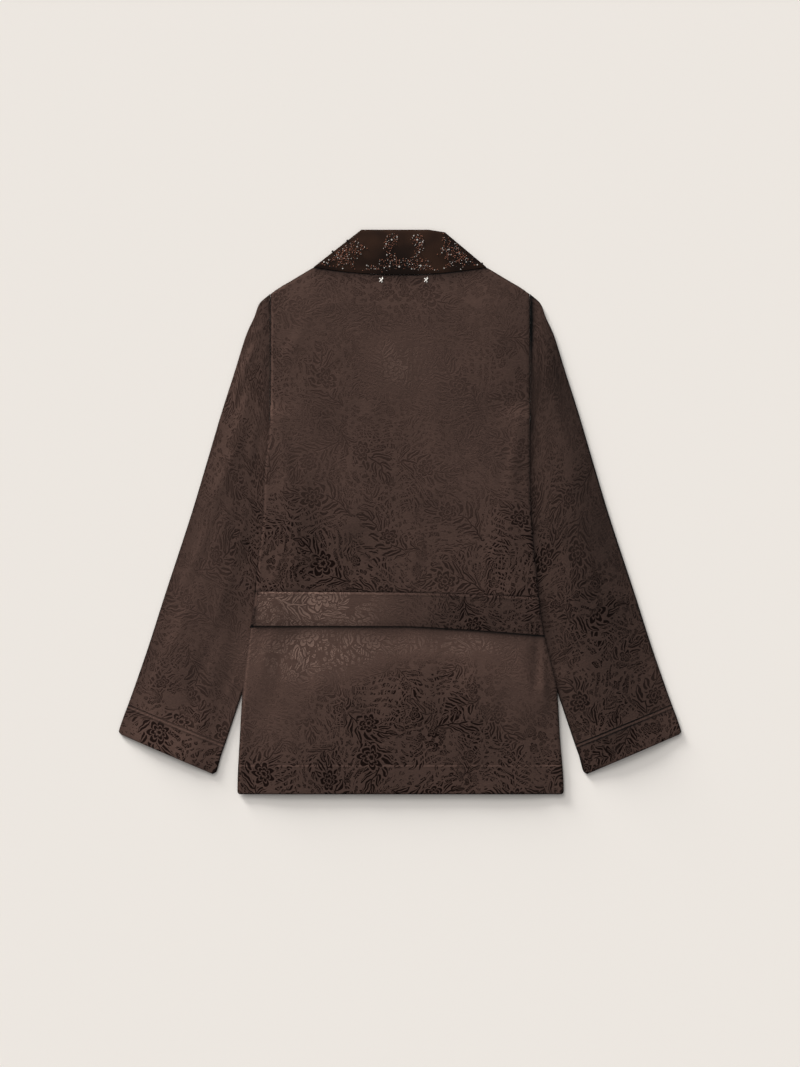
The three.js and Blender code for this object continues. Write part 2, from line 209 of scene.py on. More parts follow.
def rounding(distance):
    """How far a face bends in near an edge."""
    return RIM_DROP * (1 - ease(distance / RIM))


def hem(y):
    """Extra cloth where the hem is turned up."""
    return HEM_EXTRA * ease((HEM_Y + HEM_DEPTH - y) / HEM_STEP)


def creases(rows, x, y):
    """Sum of rise cos²(pi/2 s) cos²(pi/2 t), s along and t across each bent crease line."""
    total = np.zeros(np.broadcast(x, y).shape)
    for cx, cy, angle, length, half, bend, rise in rows:
        c, s = np.cos(np.radians(angle)), np.sin(np.radians(angle))
        along = ((x - cx) * c + (y - cy) * s) / (length / 2)
        across = (-(x - cx) * s + (y - cy) * c - bend * along**2) / half
        along, across = np.clip(along, -1, 1), np.clip(across, -1, 1)
        total += rise * np.cos(np.pi / 2 * along) ** 2 * np.cos(np.pi / 2 * across) ** 2
    return total


RIPPLES, RIPPLE_LENGTHS, RIPPLE_SIZES = 9, (38, 120), (0.03, 0.085)
RIPPLE_SEEDS = {"back": 3, "left": 8, "right": 9}


def ripple(x, y, seed):
    """Faint unevenness of woven cloth: a few long sine waves in seeded directions."""
    waves = np.random.default_rng(seed)
    total = np.zeros(np.broadcast(x, y).shape)
    for _ in range(RIPPLES):
        angle, length = waves.uniform(0, np.pi), waves.uniform(*RIPPLE_LENGTHS)
        phase, size = waves.uniform(0, 2 * np.pi), waves.uniform(*RIPPLE_SIZES)
        total += size * np.sin(2 * np.pi / length * (x * np.cos(angle) + y * np.sin(angle)) + phase)
    return total


print("half width at the hem:", half_width(-1, HEM_Y), half_width(1, HEM_Y))

# %% [markdown]
# ## Creases, placed one by one
# Satin shows how it was folded and worn: soft troughs hang from the belt, shallow pulls
# run in from the armholes, and the sleeves pucker a little below the shoulder. Each row
# places one of them by its middle, slant, length, half width, bend and height.

# %% Tables of creases
BACK_CREASES = [  # x, y, angle, length, half width, bend, rise
    (193, -232, 92, 110, 7, 2, -2.2), (208, -236, 94, 120, 8, 3, 2.0),
    (176, -214, 88, 90, 12, -3, 0.6), (-196, -214, 84, 90, 11, 3, 0.7),
    (-176, -226, 86, 110, 10, -3, -0.6), (-120, -250, 80, 150, 18, 6, 0.7),
    (-92, -262, 82, 140, 14, 5, -0.6), (-20, -270, 96, 170, 20, -6, 0.6),
    (62, -250, 88, 150, 18, 5, -0.6), (104, -256, 94, 160, 20, -4, 0.8),
    (148, -300, 80, 130, 16, 4, -0.5), (-160, -330, 100, 120, 16, 5, 0.5),
    (-170, 90, 100, 190, 14, 7, 0.8), (-150, 70, 98, 170, 11, 6, -0.6),
    (166, 84, 84, 190, 13, -7, 0.8), (148, 60, 80, 160, 12, -6, -0.6),
    (-150, 250, 62, 120, 13, 5, 0.6), (150, 246, 118, 120, 13, -5, 0.6),
    (-100, 300, 20, 120, 9, -4, 0.4), (104, 300, 160, 120, 9, -4, 0.4),
    (-40, 150, 84, 220, 24, 8, 0.6), (52, 120, 96, 240, 26, -8, 0.6),
    (-96, -60, 102, 110, 16, 4, 0.6), (20, -70, 88, 110, 20, 4, 0.6),
    (130, -78, 78, 90, 13, -4, 0.6), (-176, -78, 74, 90, 10, 4, 0.5),
    (0, 40, 4, 240, 16, 6, -0.35), (-60, -20, 172, 160, 13, -4, 0.35),
    (-206, -60, 94, 120, 7, 3, 0.5), (-90, 210, 40, 110, 15, 4, -0.4),
]
SLEEVE_CREASES = {  # the same columns, for each side as it lies
    "left": [
        (-222, 214, 68, 130, 9, -4, 0.9), (-232, 160, 72, 150, 10, 4, -0.7),
        (-214, 96, 80, 150, 10, -4, 0.8), (-252, 60, 66, 170, 13, 5, 0.8),
        (-268, -20, 70, 190, 12, -6, -0.7), (-232, -40, 76, 170, 11, 5, 0.8),
        (-296, -70, 66, 170, 13, 5, 0.8), (-258, -126, 72, 150, 12, -5, 0.7),
        (-320, -170, 68, 150, 13, 4, 0.7), (-282, -216, 64, 150, 14, 5, -0.7),
        (-352, -236, 70, 110, 11, 3, 0.5), (-242, -250, 70, 110, 10, 3, 0.6),
        (-206, 262, 40, 60, 8, 3, 0.6), (-300, -262, 20, 110, 10, 4, 0.4),
    ],
    "right": [
        (219, 214, 112, 130, 8, 4, 0.9), (235, 150, 108, 150, 10, -4, -0.7),
        (212, 90, 100, 150, 9, 4, 0.8), (256, 66, 114, 170, 12, -5, 0.7),
        (262, -26, 108, 190, 13, 6, 0.8), (228, -50, 104, 170, 10, -5, -0.7),
        (300, -66, 114, 160, 12, -4, 0.8), (254, -140, 108, 160, 12, 5, 0.8),
        (318, -176, 110, 150, 13, -4, -0.7), (286, -206, 116, 150, 13, 5, 0.8),
        (350, -240, 112, 110, 11, -3, 0.5), (246, -246, 108, 110, 10, -3, 0.6),
        (206, 258, 140, 60, 8, -3, 0.6), (304, -268, 158, 110, 10, -4, 0.4),
    ],
}
FRONT_CREASES = [  # the same columns, lifted off the floor
    (-150, -220, 92, 200, 20, 6, 0.8), (150, -200, 88, 200, 20, -6, 0.8),
    (-120, 120, 80, 200, 18, -6, 0.8), (120, 100, 98, 200, 18, 6, 0.8),
    (-190, -60, 84, 130, 9, 4, 0.7), (186, -90, 96, 130, 9, -4, 0.7),
    (-40, -300, 84, 150, 16, 5, 0.7), (60, -320, 100, 130, 16, -5, 0.7),
    (-160, 240, 66, 110, 12, 4, 0.7), (160, 236, 114, 110, 12, -4, 0.7),
]
print(len(BACK_CREASES), "creases in the back,", len(SLEEVE_CREASES["left"]), "in a sleeve")


# %% [markdown]
# ## Layers of the body
# From the floor up: the outer front, the inner front over it, then the back, and the belt
# on the back. Each layer takes the one beneath it and adds its own wall and parting, so
# no crease can push through the layer above.

# %% Layers
CREASE_RIM = 18  # creases fade out this near to a seam or fold


def front_faces(side, x, y):
    """(under, top) of a front: floor or tucked sleeve, plus the lap for the inner front."""
    base = underside(x, y) + (LAP_STEP * lap(x, y) if side == "right" else 0)
    return base + creases(FRONT_CREASES, x, y), base + CLOTH + hem(y)


def back_faces(x, y):
    """(under, top) of the back: fronts, parting, crown, ridges and creases, then its wall."""
    rim = from_rim(x, y)
    near_neck = ease((y - UNDERARM_Y) / (SHOULDER_Y - UNDERARM_Y))
    parting = mix(SEAM, NIP, np.maximum(near_neck, ease(rim / RIM)))
    floor = underside(x, y) + CLOTH + hem(y) + parting
    small = creases(BACK_CREASES, x, y) + ripple(x, y, RIPPLE_SEEDS["back"])
    soft = ridges(x, y) + ease(rim / CREASE_RIM) * small
    under = np.maximum(floor, floor + CROWN * ease(rim / CROWN_REACH) + soft)
    stitched = STITCH_DEPTH * bell(y - HEM_Y - HEM_DEPTH, STITCH_WIDTH)
    return under, under + CLOTH + hem(y) - rounding(rim) - stitched


print("back at the middle:", back_faces(np.array(0.0), np.array(0.0)))


# %% [markdown]
# ## Meshes
# A flat panel is a grid of points with a face above and one below, closed round its edge.
# A sleeve is the same grid rolled into a tube with an outer and an inner skin. Both carry
# their place on the flat cloth, which the weave later reads.

# %% Mesh makers
def quads(a, b, c, d):
    """Rows of four corner numbers from four arrays."""
    return np.stack([a, b, c, d], axis=-1).reshape(-1, 4)


def closed_panel(rows, columns):
    """Faces of a slab over a grid: upper skin first, then the lower skin, then the rim."""
    n = np.arange(rows * columns).reshape(rows, columns)
    m = n + rows * columns
    faces = [quads(n[:-1, :-1], n[:-1, 1:], n[1:, 1:], n[1:, :-1])]
    faces.append(quads(m[:-1, :-1], m[1:, :-1], m[1:, 1:], m[:-1, 1:]))
    faces.append(quads(n[0, :-1], m[0, :-1], m[0, 1:], n[0, 1:]))
    faces.append(quads(n[-1, :-1], n[-1, 1:], m[-1, 1:], m[-1, :-1]))
    faces.append(quads(n[:-1, 0], n[1:, 0], m[1:, 0], m[:-1, 0]))
    faces.append(quads(n[:-1, -1], m[:-1, -1], m[1:, -1], n[1:, -1]))
    return np.concatenate(faces)


def closed_tube(rows, around):
    """Faces of an open tube: outer skin, inner skin, and a rim at each end."""
    n = np.arange(rows * around).reshape(rows, around)
    m = n + rows * around
    n2, m2 = np.roll(n, -1, axis=1), np.roll(m, -1, axis=1)
    faces = [quads(n[:-1], n2[:-1], n2[1:], n[1:]), quads(m[:-1], m[1:], m2[1:], m2[:-1])]
    faces += [quads(n[0], m[0], m2[0], n2[0]), quads(n[-1], n2[-1], m2[-1], m[-1])]
    return np.concatenate(faces)


def make_mesh(name, points, faces, cloth=None, tone_and_sheen=None, painted_shading=None):
    """Object from points in millimetres; turned outwards if its volume is negative."""
    points = np.asarray(points, float).reshape(-1, 3) * MM
    a, b, c, d = (points[faces[:, k]] for k in (0, 1, 2, -1))
    volume = np.sum(a * (np.cross(b, c) + np.cross(c, d))) / 6
    if volume < 0:
        faces = faces[:, ::-1]
    mesh = bpy.data.meshes.new(name)
    mesh.from_pydata(points.tolist(), [], faces.tolist())
    mesh.shade_smooth()
    if cloth is not None:
        place = np.column_stack([np.reshape(cloth, (-1, 2)) * MM, np.zeros(len(points))])
        kept = mesh.attributes.new("cloth", "FLOAT_VECTOR", "POINT")
        kept.data.foreach_set("vector", place.ravel())
    # The figure's tone with painted sheen, and the painted light and shade, are stored as point
    # attributes.
    for key, values in (("tone_and_sheen", tone_and_sheen), ("painted_shading", painted_shading)):
        if values is not None:
            kept = mesh.attributes.new(key, "FLOAT", "POINT")
            kept.data.foreach_set("value", np.ravel(values))
    obj = bpy.data.objects.new(name, mesh)
    bpy.context.scene.collection.objects.link(obj)
    print(f"{name}: {len(points)} points, {len(faces)} faces, volume {abs(volume) * 1e6:.1f} cm3")
    return obj


# %% [markdown]
# ## Where the woven figure shows
# A tone-on-tone weave shows dark, bright or hardly at all, as the light falls along its
# threads. Every point gets a tone with painted sheen for the figure (below 0 darker than
# the ground, above 0 painted brighter) and painted light and shade for the ground, both as
# soft listed patches. Edges, seams and stitching get soft lines of painted light and shade:
# a painted shadow in a seam, a painted highlight on a lip.

# %% Patches of tone, painted sheen and painted light and shade
# The figure's tone with painted sheen: below 0 darker than the ground, above 0 painted brighter as if
# it caught the light, patch by patch.
TONE_AND_SHEEN = [  # x, y, reach across, reach along, change
    (-190, -50, 60, 70, -0.5), (-110, -84, 90, 44, -0.45), (160, -62, 60, 80, -0.45),
    (20, -268, 88, 62, -0.6), (50, -335, 130, 50, -0.5), (0, -385, 220, 36, -0.5),
    (-190, -392, 80, 30, -0.45), (168, -262, 60, 72, 0.55), (-110, -205, 110, 40, 1.45),
    (80, -192, 90, 24, 1.0), (-185, -290, 70, 66, 0.45), (0, 215, 64, 64, 0.75),
    (105, 90, 85, 120, 0.4), (-130, 110, 70, 90, 0.35), (-330, -330, 90, 46, -0.42),
    (330, -330, 90, 46, -0.6), (-308, -228, 36, 60, -0.1), (290, -190, 60, 90, -0.4),
    (-122, 290, 80, 60, 0.42), (122, 290, 80, 60, 0.4), (-214, 190, 36, 100, -0.12),
    (-285, -90, 66, 150, 0.36), (300, -20, 40, 50, 0.3), (240, 150, 40, 60, 0.3),
]
# Painted light and shade on the ground: lighter and darker patches where the satin would catch or
# lose the light, and a painted shadow and highlight along the pleat under the belt at the right.
PAINTED_SHADING = [  # the same columns
    (-90, -215, 150, 55, 0.26), (120, -205, 100, 40, 0.16), (-190, -300, 60, 90, 0.14),
    (0, 70, 200, 90, 0.02), (-140, 10, 70, 120, -0.04), (140, 60, 60, 160, -0.08),
    (0, -30, 200, 50, -0.08), (310, -60, 90, 330, -0.48), (240, 200, 50, 120, -0.36),
    (60, -330, 150, 60, -0.12), (-60, -385, 200, 26, -0.1), (330, -330, 90, 50, -0.04),
    (-310, -100, 90, 260, -0.06), (195, -218, 5, 40, -0.5), (207, -226, 7, 44, 0.08),
    (0, 260, 120, 60, 0.04), (-330, -330, 70, 46, 0.52), (-225, 190, 50, 120, 0.24),
]
TONE_BASE = -0.56
# The belt's tone with painted sheen, and its painted light and shade: lighter at the left, darker at
# the right, a painted shadow at its left end.
BELT_TONE_AND_SHEEN = [(-150, -140, 170, 60, 1.4), (120, -145, 110, 60, -0.5)]
BELT_PAINTED_SHADING = [(-170, -140, 190, 60, 0.07), (140, -145, 120, 60, -0.32), (-214, -140, 5, 40, -0.5)]


def patches(rows, x, y, base):
    """base plus a bell of each row's size and change at its place."""
    total = np.full(np.broadcast(x, y).shape, float(base))
    for cx, cy, wide, long, change in rows:
        total += change * bell(x - cx, wide) * bell(y - cy, long)
    return total


def woven(x, y, tones_and_sheen=TONE_AND_SHEEN, painted_shadings=PAINTED_SHADING):
    """(tone with painted sheen, painted light and shade) at points of the jacket, the first held
    between -1 and 1.
    """
    return np.clip(patches(tones_and_sheen, x, y, TONE_BASE), -1, 1), patches(painted_shadings, x, y, 0.0)


def painted_lines(table, places):
    """Painted light and shade: sum of change x bell over the lines; places holds each name, distance
    and where.
    """
    total = 0.0
    for name, distance, where in places:
        place, width, change = table[name]
        total = total + where * change * bell(distance - place, width)
    return total


print("tone over the belt:", woven(np.array(-190.0), np.array(-60.0)))


# %% [markdown]
# ## Panels
# A flat piece of the jacket is a grid over its outline, with an upper and a lower skin. A
# subdivided plane could be bent instead, but a grid worked out from the edges puts its
# points close together just where the cloth rolls over or is stitched.

# %% Panels
LEAST_STEP = 0.25  # rows of points closer than this are left out


def spread(low, high, step, fine=()):
    """Values from low to high about a step apart, with closer ones round each fine place."""
    values = [np.linspace(low, high, max(2, round((high - low) / step) + 1))]
    for place, reach, count in fine:
        values.append(np.linspace(place - reach, place + reach, count))
    joined = np.concatenate(values)
    joined = np.unique(np.round(joined[(joined >= low) & (joined <= high)], 4))
    keep = np.concatenate([[True], np.diff(joined) > LEAST_STEP])
    keep[-1] = True
    return joined[keep]


def panel(name, x, y, top, under, cut_at=(0, 0), patch=(TONE_AND_SHEEN, PAINTED_SHADING), lines=0.0, flip=1):
    """A closed panel; cut_at moves its place on the flat cloth, and flip -1 mirrors it."""
    points = np.concatenate([np.stack([x, y, z], axis=-1) for z in (top, under)])
    cloth = np.stack([flip * x, y], axis=-1) + cut_at
    # Painted light and shade from the patches, plus the painted lines.
    tone_and_sheen, painted_shading = woven(x, y, *patch)
    twice = [np.concatenate([values, values]) for values in (cloth, tone_and_sheen, painted_shading + lines)]
    return make_mesh(name, points, closed_panel(*x.shape), *twice)


# %% [markdown]
# ## The back
# The back is one panel from the hem to the neck and shoulder seams. Seams, stitches and
# edges are too fine for its mesh to shade well, so each also gets a soft dark or light painted
# line, placed at its distance from the edge that it follows: painted shadows along the rims,
# below the collar and round the belt, and painted highlights on the seams.

# %% The back
ARMHOLE_Y = 160.0
EDGE_SHARES = np.array([0.0015, 0.004, 0.008, 0.012])
FINER_ROWS = [  # y, reach to each side, count: hem, its stitching, the belt's two edges
    (HEM_Y, 5, 9), (HEM_Y + HEM_DEPTH, 4, 13), (-172, 11, 23), (-120, 6, 13),
]
BACK_PAINTED_LINES = {  # place, width, change: painted light above 0, painted shade below 0
    "rim": (0.0, 1.7, -0.62), "below collar": (0.0, 7.0, -0.4), "side fold": (3.2, 1.4, 0.15),
    "left seam": (2.2, 1.2, 0.55), "right seam": (2.2, 1.2, 0.2), "belt end": (3.4, 1.5, -0.85),
    "below belt": (0.8, 2.0, -0.9), "above belt": (0.8, 1.5, -0.6),
    "stitches": (-1.8, 1.3, -0.22), "above stitches": (0.0, 1.2, 0.05),
}


def back_painted_lines(x, y):
    """Painted shadows along the rims, below the collar, round the belt and at the hem's stitches;
    painted highlights on the seams, the left side fold and above the stitches.
    """
    rim, stitch = from_rim(x, y), y - HEM_Y - HEM_DEPTH
    left, seam = x < 0, (y > UNDERARM_Y - 10) & (np.abs(x) > NECK_X + 40)
    top, foot = (curve(BELT_EDGES[:, 0], BELT_EDGES[:, k], x) for k in (1, 2))
    return painted_lines(BACK_PAINTED_LINES, [
        ("rim", np.minimum(rim, y - HEM_Y), True),
        ("below collar", back_top(x) - y, np.abs(x) < NECK_X),
        ("side fold", rim, left & (y < UNDERARM_Y)),
        ("left seam", rim, seam & left), ("right seam", rim, seam & ~left),
        ("belt end", rim, left & (y > foot - 3) & (y < foot + 27)),
        ("below belt", foot - y, True), ("above belt", y - top, True),
        ("stitches", stitch, True), ("above stitches", stitch, True),
    ])


def back_panel():
    """Rows at set heights up to the armhole, then at equal shares up to the top edge."""
    across = np.unique(np.concatenate([np.linspace(0, 1, 131), EDGE_SHARES, 1 - EDGE_SHARES]))
    low = spread(HEM_Y, ARMHOLE_Y, 3.6, FINER_ROWS)[:, None] * np.ones(len(across))
    share = np.unique(np.concatenate([np.linspace(0, 1, 50)[1:], 1 - EDGE_SHARES * 1.6]))
    top = back_top(mix(-SHOULDER_X, SHOULDER_X, across)) - SEAM
    y = np.concatenate([low, mix(ARMHOLE_Y, top, share[:, None])])
    left, right = (half_width(sign, np.minimum(y, SHOULDER_Y)) - SEAM / 2 for sign in (-1, 1))
    x = mix(-left, right, across)
    under, upper = back_faces(x, y)
    return panel("back_shell", x, y, upper, under, lines=back_painted_lines(x, y))


# %% [markdown]
# ## Fronts and their bands
# The fronts lie beneath the back, one lapped over the other, and show only from below. A
# plain band is sewn to each, folded over at its free edge. They are simple grids between
# the side fold and the front seam, lifted a little off the floor by their creases.

# %% Fronts and bands
FRONT_TOP = 351
FRONT_CUT = (500, 900)  # where the fronts lie on the flat cloth
BAND_SHARES = np.array([0, 0.02, 0.05, 0.12, 0.3, 0.5, 0.7, 0.88, 0.92, 0.95, 0.98, 1.0])
BAND_ROLL = 0.92  # from this share on the band rolls over


def front_panel(side):
    """From the side fold to the band's seam; the right front rises over the left one."""
    sign = -1 if side == "left" else 1
    across = np.unique(np.concatenate([np.linspace(0, 1, 61), EDGE_SHARES]))[None, :]
    y = spread(HEM_Y, FRONT_TOP, 6, [(HEM_Y + HEM_DEPTH, 3, 7)])[:, None]
    fold = sign * (half_width(sign, y) - SEAM / 2)
    edge = -sign * (front_seam(y) - SEAM / 2)
    x = mix(fold, edge, across)
    y = np.broadcast_to(y, x.shape)
    under, top = front_faces(side, x, y)
    under = under + rounding(np.abs(x - fold))
    return panel(f"front_{side}_shell", x, y, top, under, FRONT_CUT, flip=sign)


def band_panel(side):
    """The plain band: from the front's seam, reaching and rising as its table says."""
    sign = -1 if side == "left" else 1
    across = BAND_SHARES[None, :]
    level = spread(HEM_Y, NECK_Y, 8)[:, None]
    reach = curve(FRONT_EDGE[:, 0], FRONT_EDGE[:, 2], level)
    rise = curve(FRONT_EDGE[:, 0], FRONT_EDGE[:, 3], level)
    x = -sign * (front_seam(level) + SEAM / 2) - sign * across * reach
    y = level + across * rise
    base = underside(x, y) + (LAP_STEP * lap(x, y) if side == "right" else 0)
    top = base + BAND - RIM_DROP * np.maximum(0, (across - BAND_ROLL) / (1 - BAND_ROLL))
    return panel(f"band_{side}_shell", x, y, top, base)


back = back_panel()
fronts = {side: front_panel(side) for side in ("left", "right")}
bands = {side: band_panel(side) for side in ("left", "right")}


# %% [markdown]
# ## Collar and half belt
# The collar is a folded satin band that lies back from the neck seam to its folded upper
# edge. The half belt is a flat doubled strip that rides on the back and follows each of
# its creases, caught at both side folds.

# %% Collar and belt
def collar_place(u, v):
    """(x, y, top, under) at share u along the neck seam and v up to the folded edge."""
    seam_x = mix(-NECK_X, NECK_X, u)
    top_x = mix(COLLAR_TOP[0, 0], COLLAR_TOP[-1, 0], u)
    x = mix(seam_x, top_x, v)
    y = mix(back_top(seam_x), np.interp(top_x, COLLAR_TOP[:, 0], COLLAR_TOP[:, 1]), v)
    ends = np.minimum(u, 1 - u)
    edge = np.minimum(ends, np.minimum(1 - v, v) * 0.4) / COLLAR_EDGE
    swell = COLLAR_SWELL * np.sin(np.pi * v) * ease(ends * 6)
    dents = COLLAR_DENT * np.sin(u * 17 + v * 3) * np.sin(np.pi * v) * ease(ends * 5)
    under = np.full(np.shape(x), CLOTH + NIP)
    return x, y, under + COLLAR + swell + dents - RIM_DROP * (1 - ease(edge)), under


def collar_panel():
    """Grid over the collar, closer at its edges."""
    near = np.array([0.004, 0.012, 0.024])
    u = np.unique(np.concatenate([np.linspace(0, 1, 91), near, 1 - near]))[None, :]
    v = np.unique(np.concatenate([np.linspace(0, 1, 31), near * 2, 1 - near * 2]))[:, None]
    x, y, top, under = collar_place(u, v)
    return panel("collar_shell", x, y, top, under)


BELT_CUT = (330, 715)
BELT_PAINTED_LINES = {  # place, width, change: painted light above 0, painted shade below 0
    "edge": (1.6, 1.2, 0.1), "stitches": (4.2, 1.3, -0.25), "top": (0.0, 1.4, -0.3),
    "foot": (0.0, 1.4, 0.35), "lip": (2.2, 0.9, 0.3), "left end": (0.0, 1.6, -0.6),
}


def belt_place(u, v):
    """(x, y) at share u along the belt and v from its foot to its top."""
    rough = mix(-half_width(-1, -140.0), half_width(1, -150.0), u)
    foot = curve(BELT_EDGES[:, 0], BELT_EDGES[:, 2], rough)
    y = mix(foot, curve(BELT_EDGES[:, 0], BELT_EDGES[:, 1], rough), v)
    return mix(-half_width(-1, y) + BELT_ENDS["left"], half_width(1, y) - BELT_ENDS["right"], u), y


def belt_panel():
    """Doubled strip on the back, its long edges folded and its stitching pressed in."""
    near = np.array([0.004, 0.008])
    u = np.unique(np.concatenate([np.linspace(0, 1, 151), near, 1 - near]))[None, :]
    near = np.array([0.02, 0.04, 0.08])
    v = np.unique(np.concatenate([np.linspace(0, 1, 19), near, 1 - near]))[:, None]
    x, y = belt_place(u, v)
    under = back_faces(x, y)[1] + BELT_PARTING
    rim = np.minimum(v, 1 - v)
    puff = (BELT_PUFF + BELT_WAVE * np.sin(u * 31 + 1.3)) * np.sin(np.pi * v)
    top = under + BELT + puff - RIM_DROP * (1 - ease(rim / BELT_EDGE))
    across = rim * BELT_WIDTH
    # Painted lines: painted highlights on the edges, the foot and its lip, painted shade at the
    # stitching and the top edge, a painted shadow at the left end.
    lines = painted_lines(BELT_PAINTED_LINES, [
        ("edge", across, True), ("stitches", across, True), ("top", across, v > 0.5),
        ("foot", across, v <= 0.5), ("lip", across, v < 0.5), ("left end", u * BELT_LENGTH, True),
    ])
    return panel("belt_shell", x, y, top, under, BELT_CUT, (BELT_TONE_AND_SHEEN, BELT_PAINTED_SHADING), lines)


collar = collar_panel()
belt = belt_panel()


# %% [markdown]
# ## Sleeves and cuffs
# A sleeve is a tube pressed flat, its inner part tucked beneath the body. We draw rings
# from the armhole to the wrist: each ring runs out along the lower wall, rolls round the
# outer fold and comes back along the upper wall, which rises softly between the folds.

# %% Rings of a sleeve
AROUND = 144
SLEEVE_HEAD = (188, 230)  # the middle of the armhole
CLOTH_APART, CLOTH_SHIFT = 900, 300  # each sleeve has its own place on the flat cloth
LOWEST = -0.4  # no crease sinks deeper than this


def sleeve_edges(row):
    """x and y of the outer fold, then of the inner one, at rows of the table."""
    return (curve(np.arange(len(SLEEVE)), SLEEVE[:, k], row) for k in range(4))


def sleeve_ring(side, row, extra, inset):
    """Points of the rings at table rows; share across is -cos(angle), open at the folds."""
    sign = -1 if side == "left" else 1
    ox, oy, ix, iy = sleeve_edges(row[:, None])
    half = np.hypot(ox - ix, oy - iy) / 2
    angle = 2 * np.pi * np.arange(AROUND)[None, :] / AROUND
    share = -np.cos(angle) * (1 - inset / half)
    x, y = mix(ix, ox, (1 + share) / 2), mix(iy, oy, (1 + share) / 2)
    to_fold = half * (1 - np.abs(share)) - inset
    opened = np.sqrt(1 - (1 - np.clip(to_fold / (RIM / 2), 0, 1)) ** 2)
    past_body = x - half_width(sign, np.minimum(y, SHOULDER_Y))
    clear, free = ease((past_body - RIM) / PUFF_REACH), ease((past_body - 1) / 12)
    ends = ease(half * (1 - share) / PUFF_REACH) * ease(half * (1 + share) / PUFF_REACH)
    middle = (FLAT + extra) / 2
    soft = creases(SLEEVE_CREASES[side], sign * x, y) + ripple(sign * x, y, RIPPLE_SEEDS[side])
    folds = ease(half * (1 - share) / 14)
    lift = PUFF * clear * ends + soft * free * folds
    level = np.sign(np.round(np.sin(angle), 6))
    raised = np.where(level > 0, middle + np.maximum(lift, LOWEST), middle)
    z = middle + level * np.maximum(0, raised - inset) * opened
    along = np.hypot((ox + ix) / 2 - SLEEVE_HEAD[0], (oy + iy) / 2 - SLEEVE_HEAD[1])
    cloth = np.broadcast_arrays(share * half + CLOTH_APART * sign, CLOTH_SHIFT * sign - along)
    return np.stack([sign * x, y, z], axis=-1), np.stack(cloth, axis=-1)


# %% [markdown]
# ## Sleeves and cuffs in place
# A sleeve gets painted shade along its folds and a painted shadow beside the armhole, where
# the body lies over it. The cuff is a turned band with a seam above it and a row of stitches
# below, each marked by painted lines of light and shade. These lines follow the rings, so
# they are placed by the distance from the cuff seam.

# %% Sleeves and cuffs
SLEEVE_PAINTED_LINES = {  # place, width, change: painted light above 0, painted shade below 0
    "fold": (0.0, 2.0, -0.75), "left armhole": (0.0, 9, -0.32), "right armhole": (0.0, 7, -0.32),
    "deep": (2, 3.4, -0.8), "cuff seam": (0.0, 1.3, -0.8), "above seam": (-2.6, 1.2, 0.15),
    "cuff edge": (2.2, 1.0, 0.4), "cuff stitches": (4.6, 1.2, -0.62), "end": (13, 0.25, -0.5),
}
DEEP_Y, DEEP_REACH = 275, 56  # where the painted shadow beside the right armhole is darkest
ROW_ABOVE, ROW_BELOW = 77, 20  # millimetres in a table row above and below the cuff seam


def sleeve_painted_lines(side, row, outer):
    """Painted shade along the folds and a painted shadow beside the armhole; painted light and dark
    lines at the cuff.
    """
    ox, oy, ix, iy = sleeve_edges(row)
    x, y = np.abs(outer[..., 0]), outer[..., 1]
    to_fold = np.minimum(np.hypot(x - ox, y - oy), np.hypot(x - ix, y - iy))
    beside = x - SHOULDER_X
    deepest = (side == "right") * bell(y - DEEP_Y, DEEP_REACH)
    past = (row - CUFF_ROW) * np.where(row < CUFF_ROW, ROW_ABOVE, ROW_BELOW)
    return painted_lines(SLEEVE_PAINTED_LINES, [
        ("fold", to_fold, True), (f"{side} armhole", beside, y > UNDERARM_Y - 30),
        ("deep", beside, deepest), ("cuff seam", past, True), ("above seam", past, True),
        ("cuff edge", past, True), ("cuff stitches", past, True), ("end", row, True),
    ])


def sleeve_tube(name, side, rows, wall, extra, cut_at=(0, 0)):
    """Outer and inner skins joined at both ends; the figure fades out at the cuff seam."""
    outer, cloth = sleeve_ring(side, rows, extra, 0.0)
    inner = sleeve_ring(side, rows, extra, wall)[0]
    # The figure's tone with painted sheen and the painted light and shade of the patches, plus
    # painted lines along the folds, the armhole and the cuff.
    tone_and_sheen, painted_shading = woven(outer[..., 0], outer[..., 1])
    tone_and_sheen = tone_and_sheen * (1 - bell(rows[:, None] - CUFF_ROW - 0.1, 0.16))
    painted_shading = painted_shading + sleeve_painted_lines(side, rows[:, None], outer)
    twice = [np.concatenate([values, values]) for values in (cloth + cut_at, tone_and_sheen, painted_shading)]
    points = np.concatenate([outer, inner])
    return make_mesh(name, points, closed_tube(*outer.shape[:2]), *twice)


SLEEVE_ROWS = np.concatenate([  # closer together towards the cuff seam
    np.linspace(0, 4, 50), np.linspace(4, 9, 80)[1:], np.linspace(9, 9.94, 14)[1:],
    [9.955, 9.967, 9.976, 9.984, 9.99, 9.996],
])
CUFF_ROWS = np.concatenate([
    [10.004], np.linspace(10.03, 10.3, 10), np.linspace(10.4, 12, 16),
    np.linspace(12.2, 12.8, 4), [12.92, 13],
])
CUFF_EXTRA, CUFF_CUT = 0.4, (270, -350)
SIDES = ("left", "right")
sleeves = {s: sleeve_tube(f"sleeve_{s}_shell", s, SLEEVE_ROWS, CLOTH, 0.0) for s in SIDES}
cuffs = {
    s: sleeve_tube(f"cuff_{s}_shell", s, CUFF_ROWS, CUFF, CUFF_EXTRA, CUFF_CUT) for s in SIDES
}


# %% [markdown]
# ## Helpers for shader networks
# A weave is drawn by arithmetic on a point's place. A Term holds one output of a node, and
# a sign between two Terms adds the Math node for it, so that the pattern below reads like
# a formula. The same network could be wired by hand in the Shader Editor.

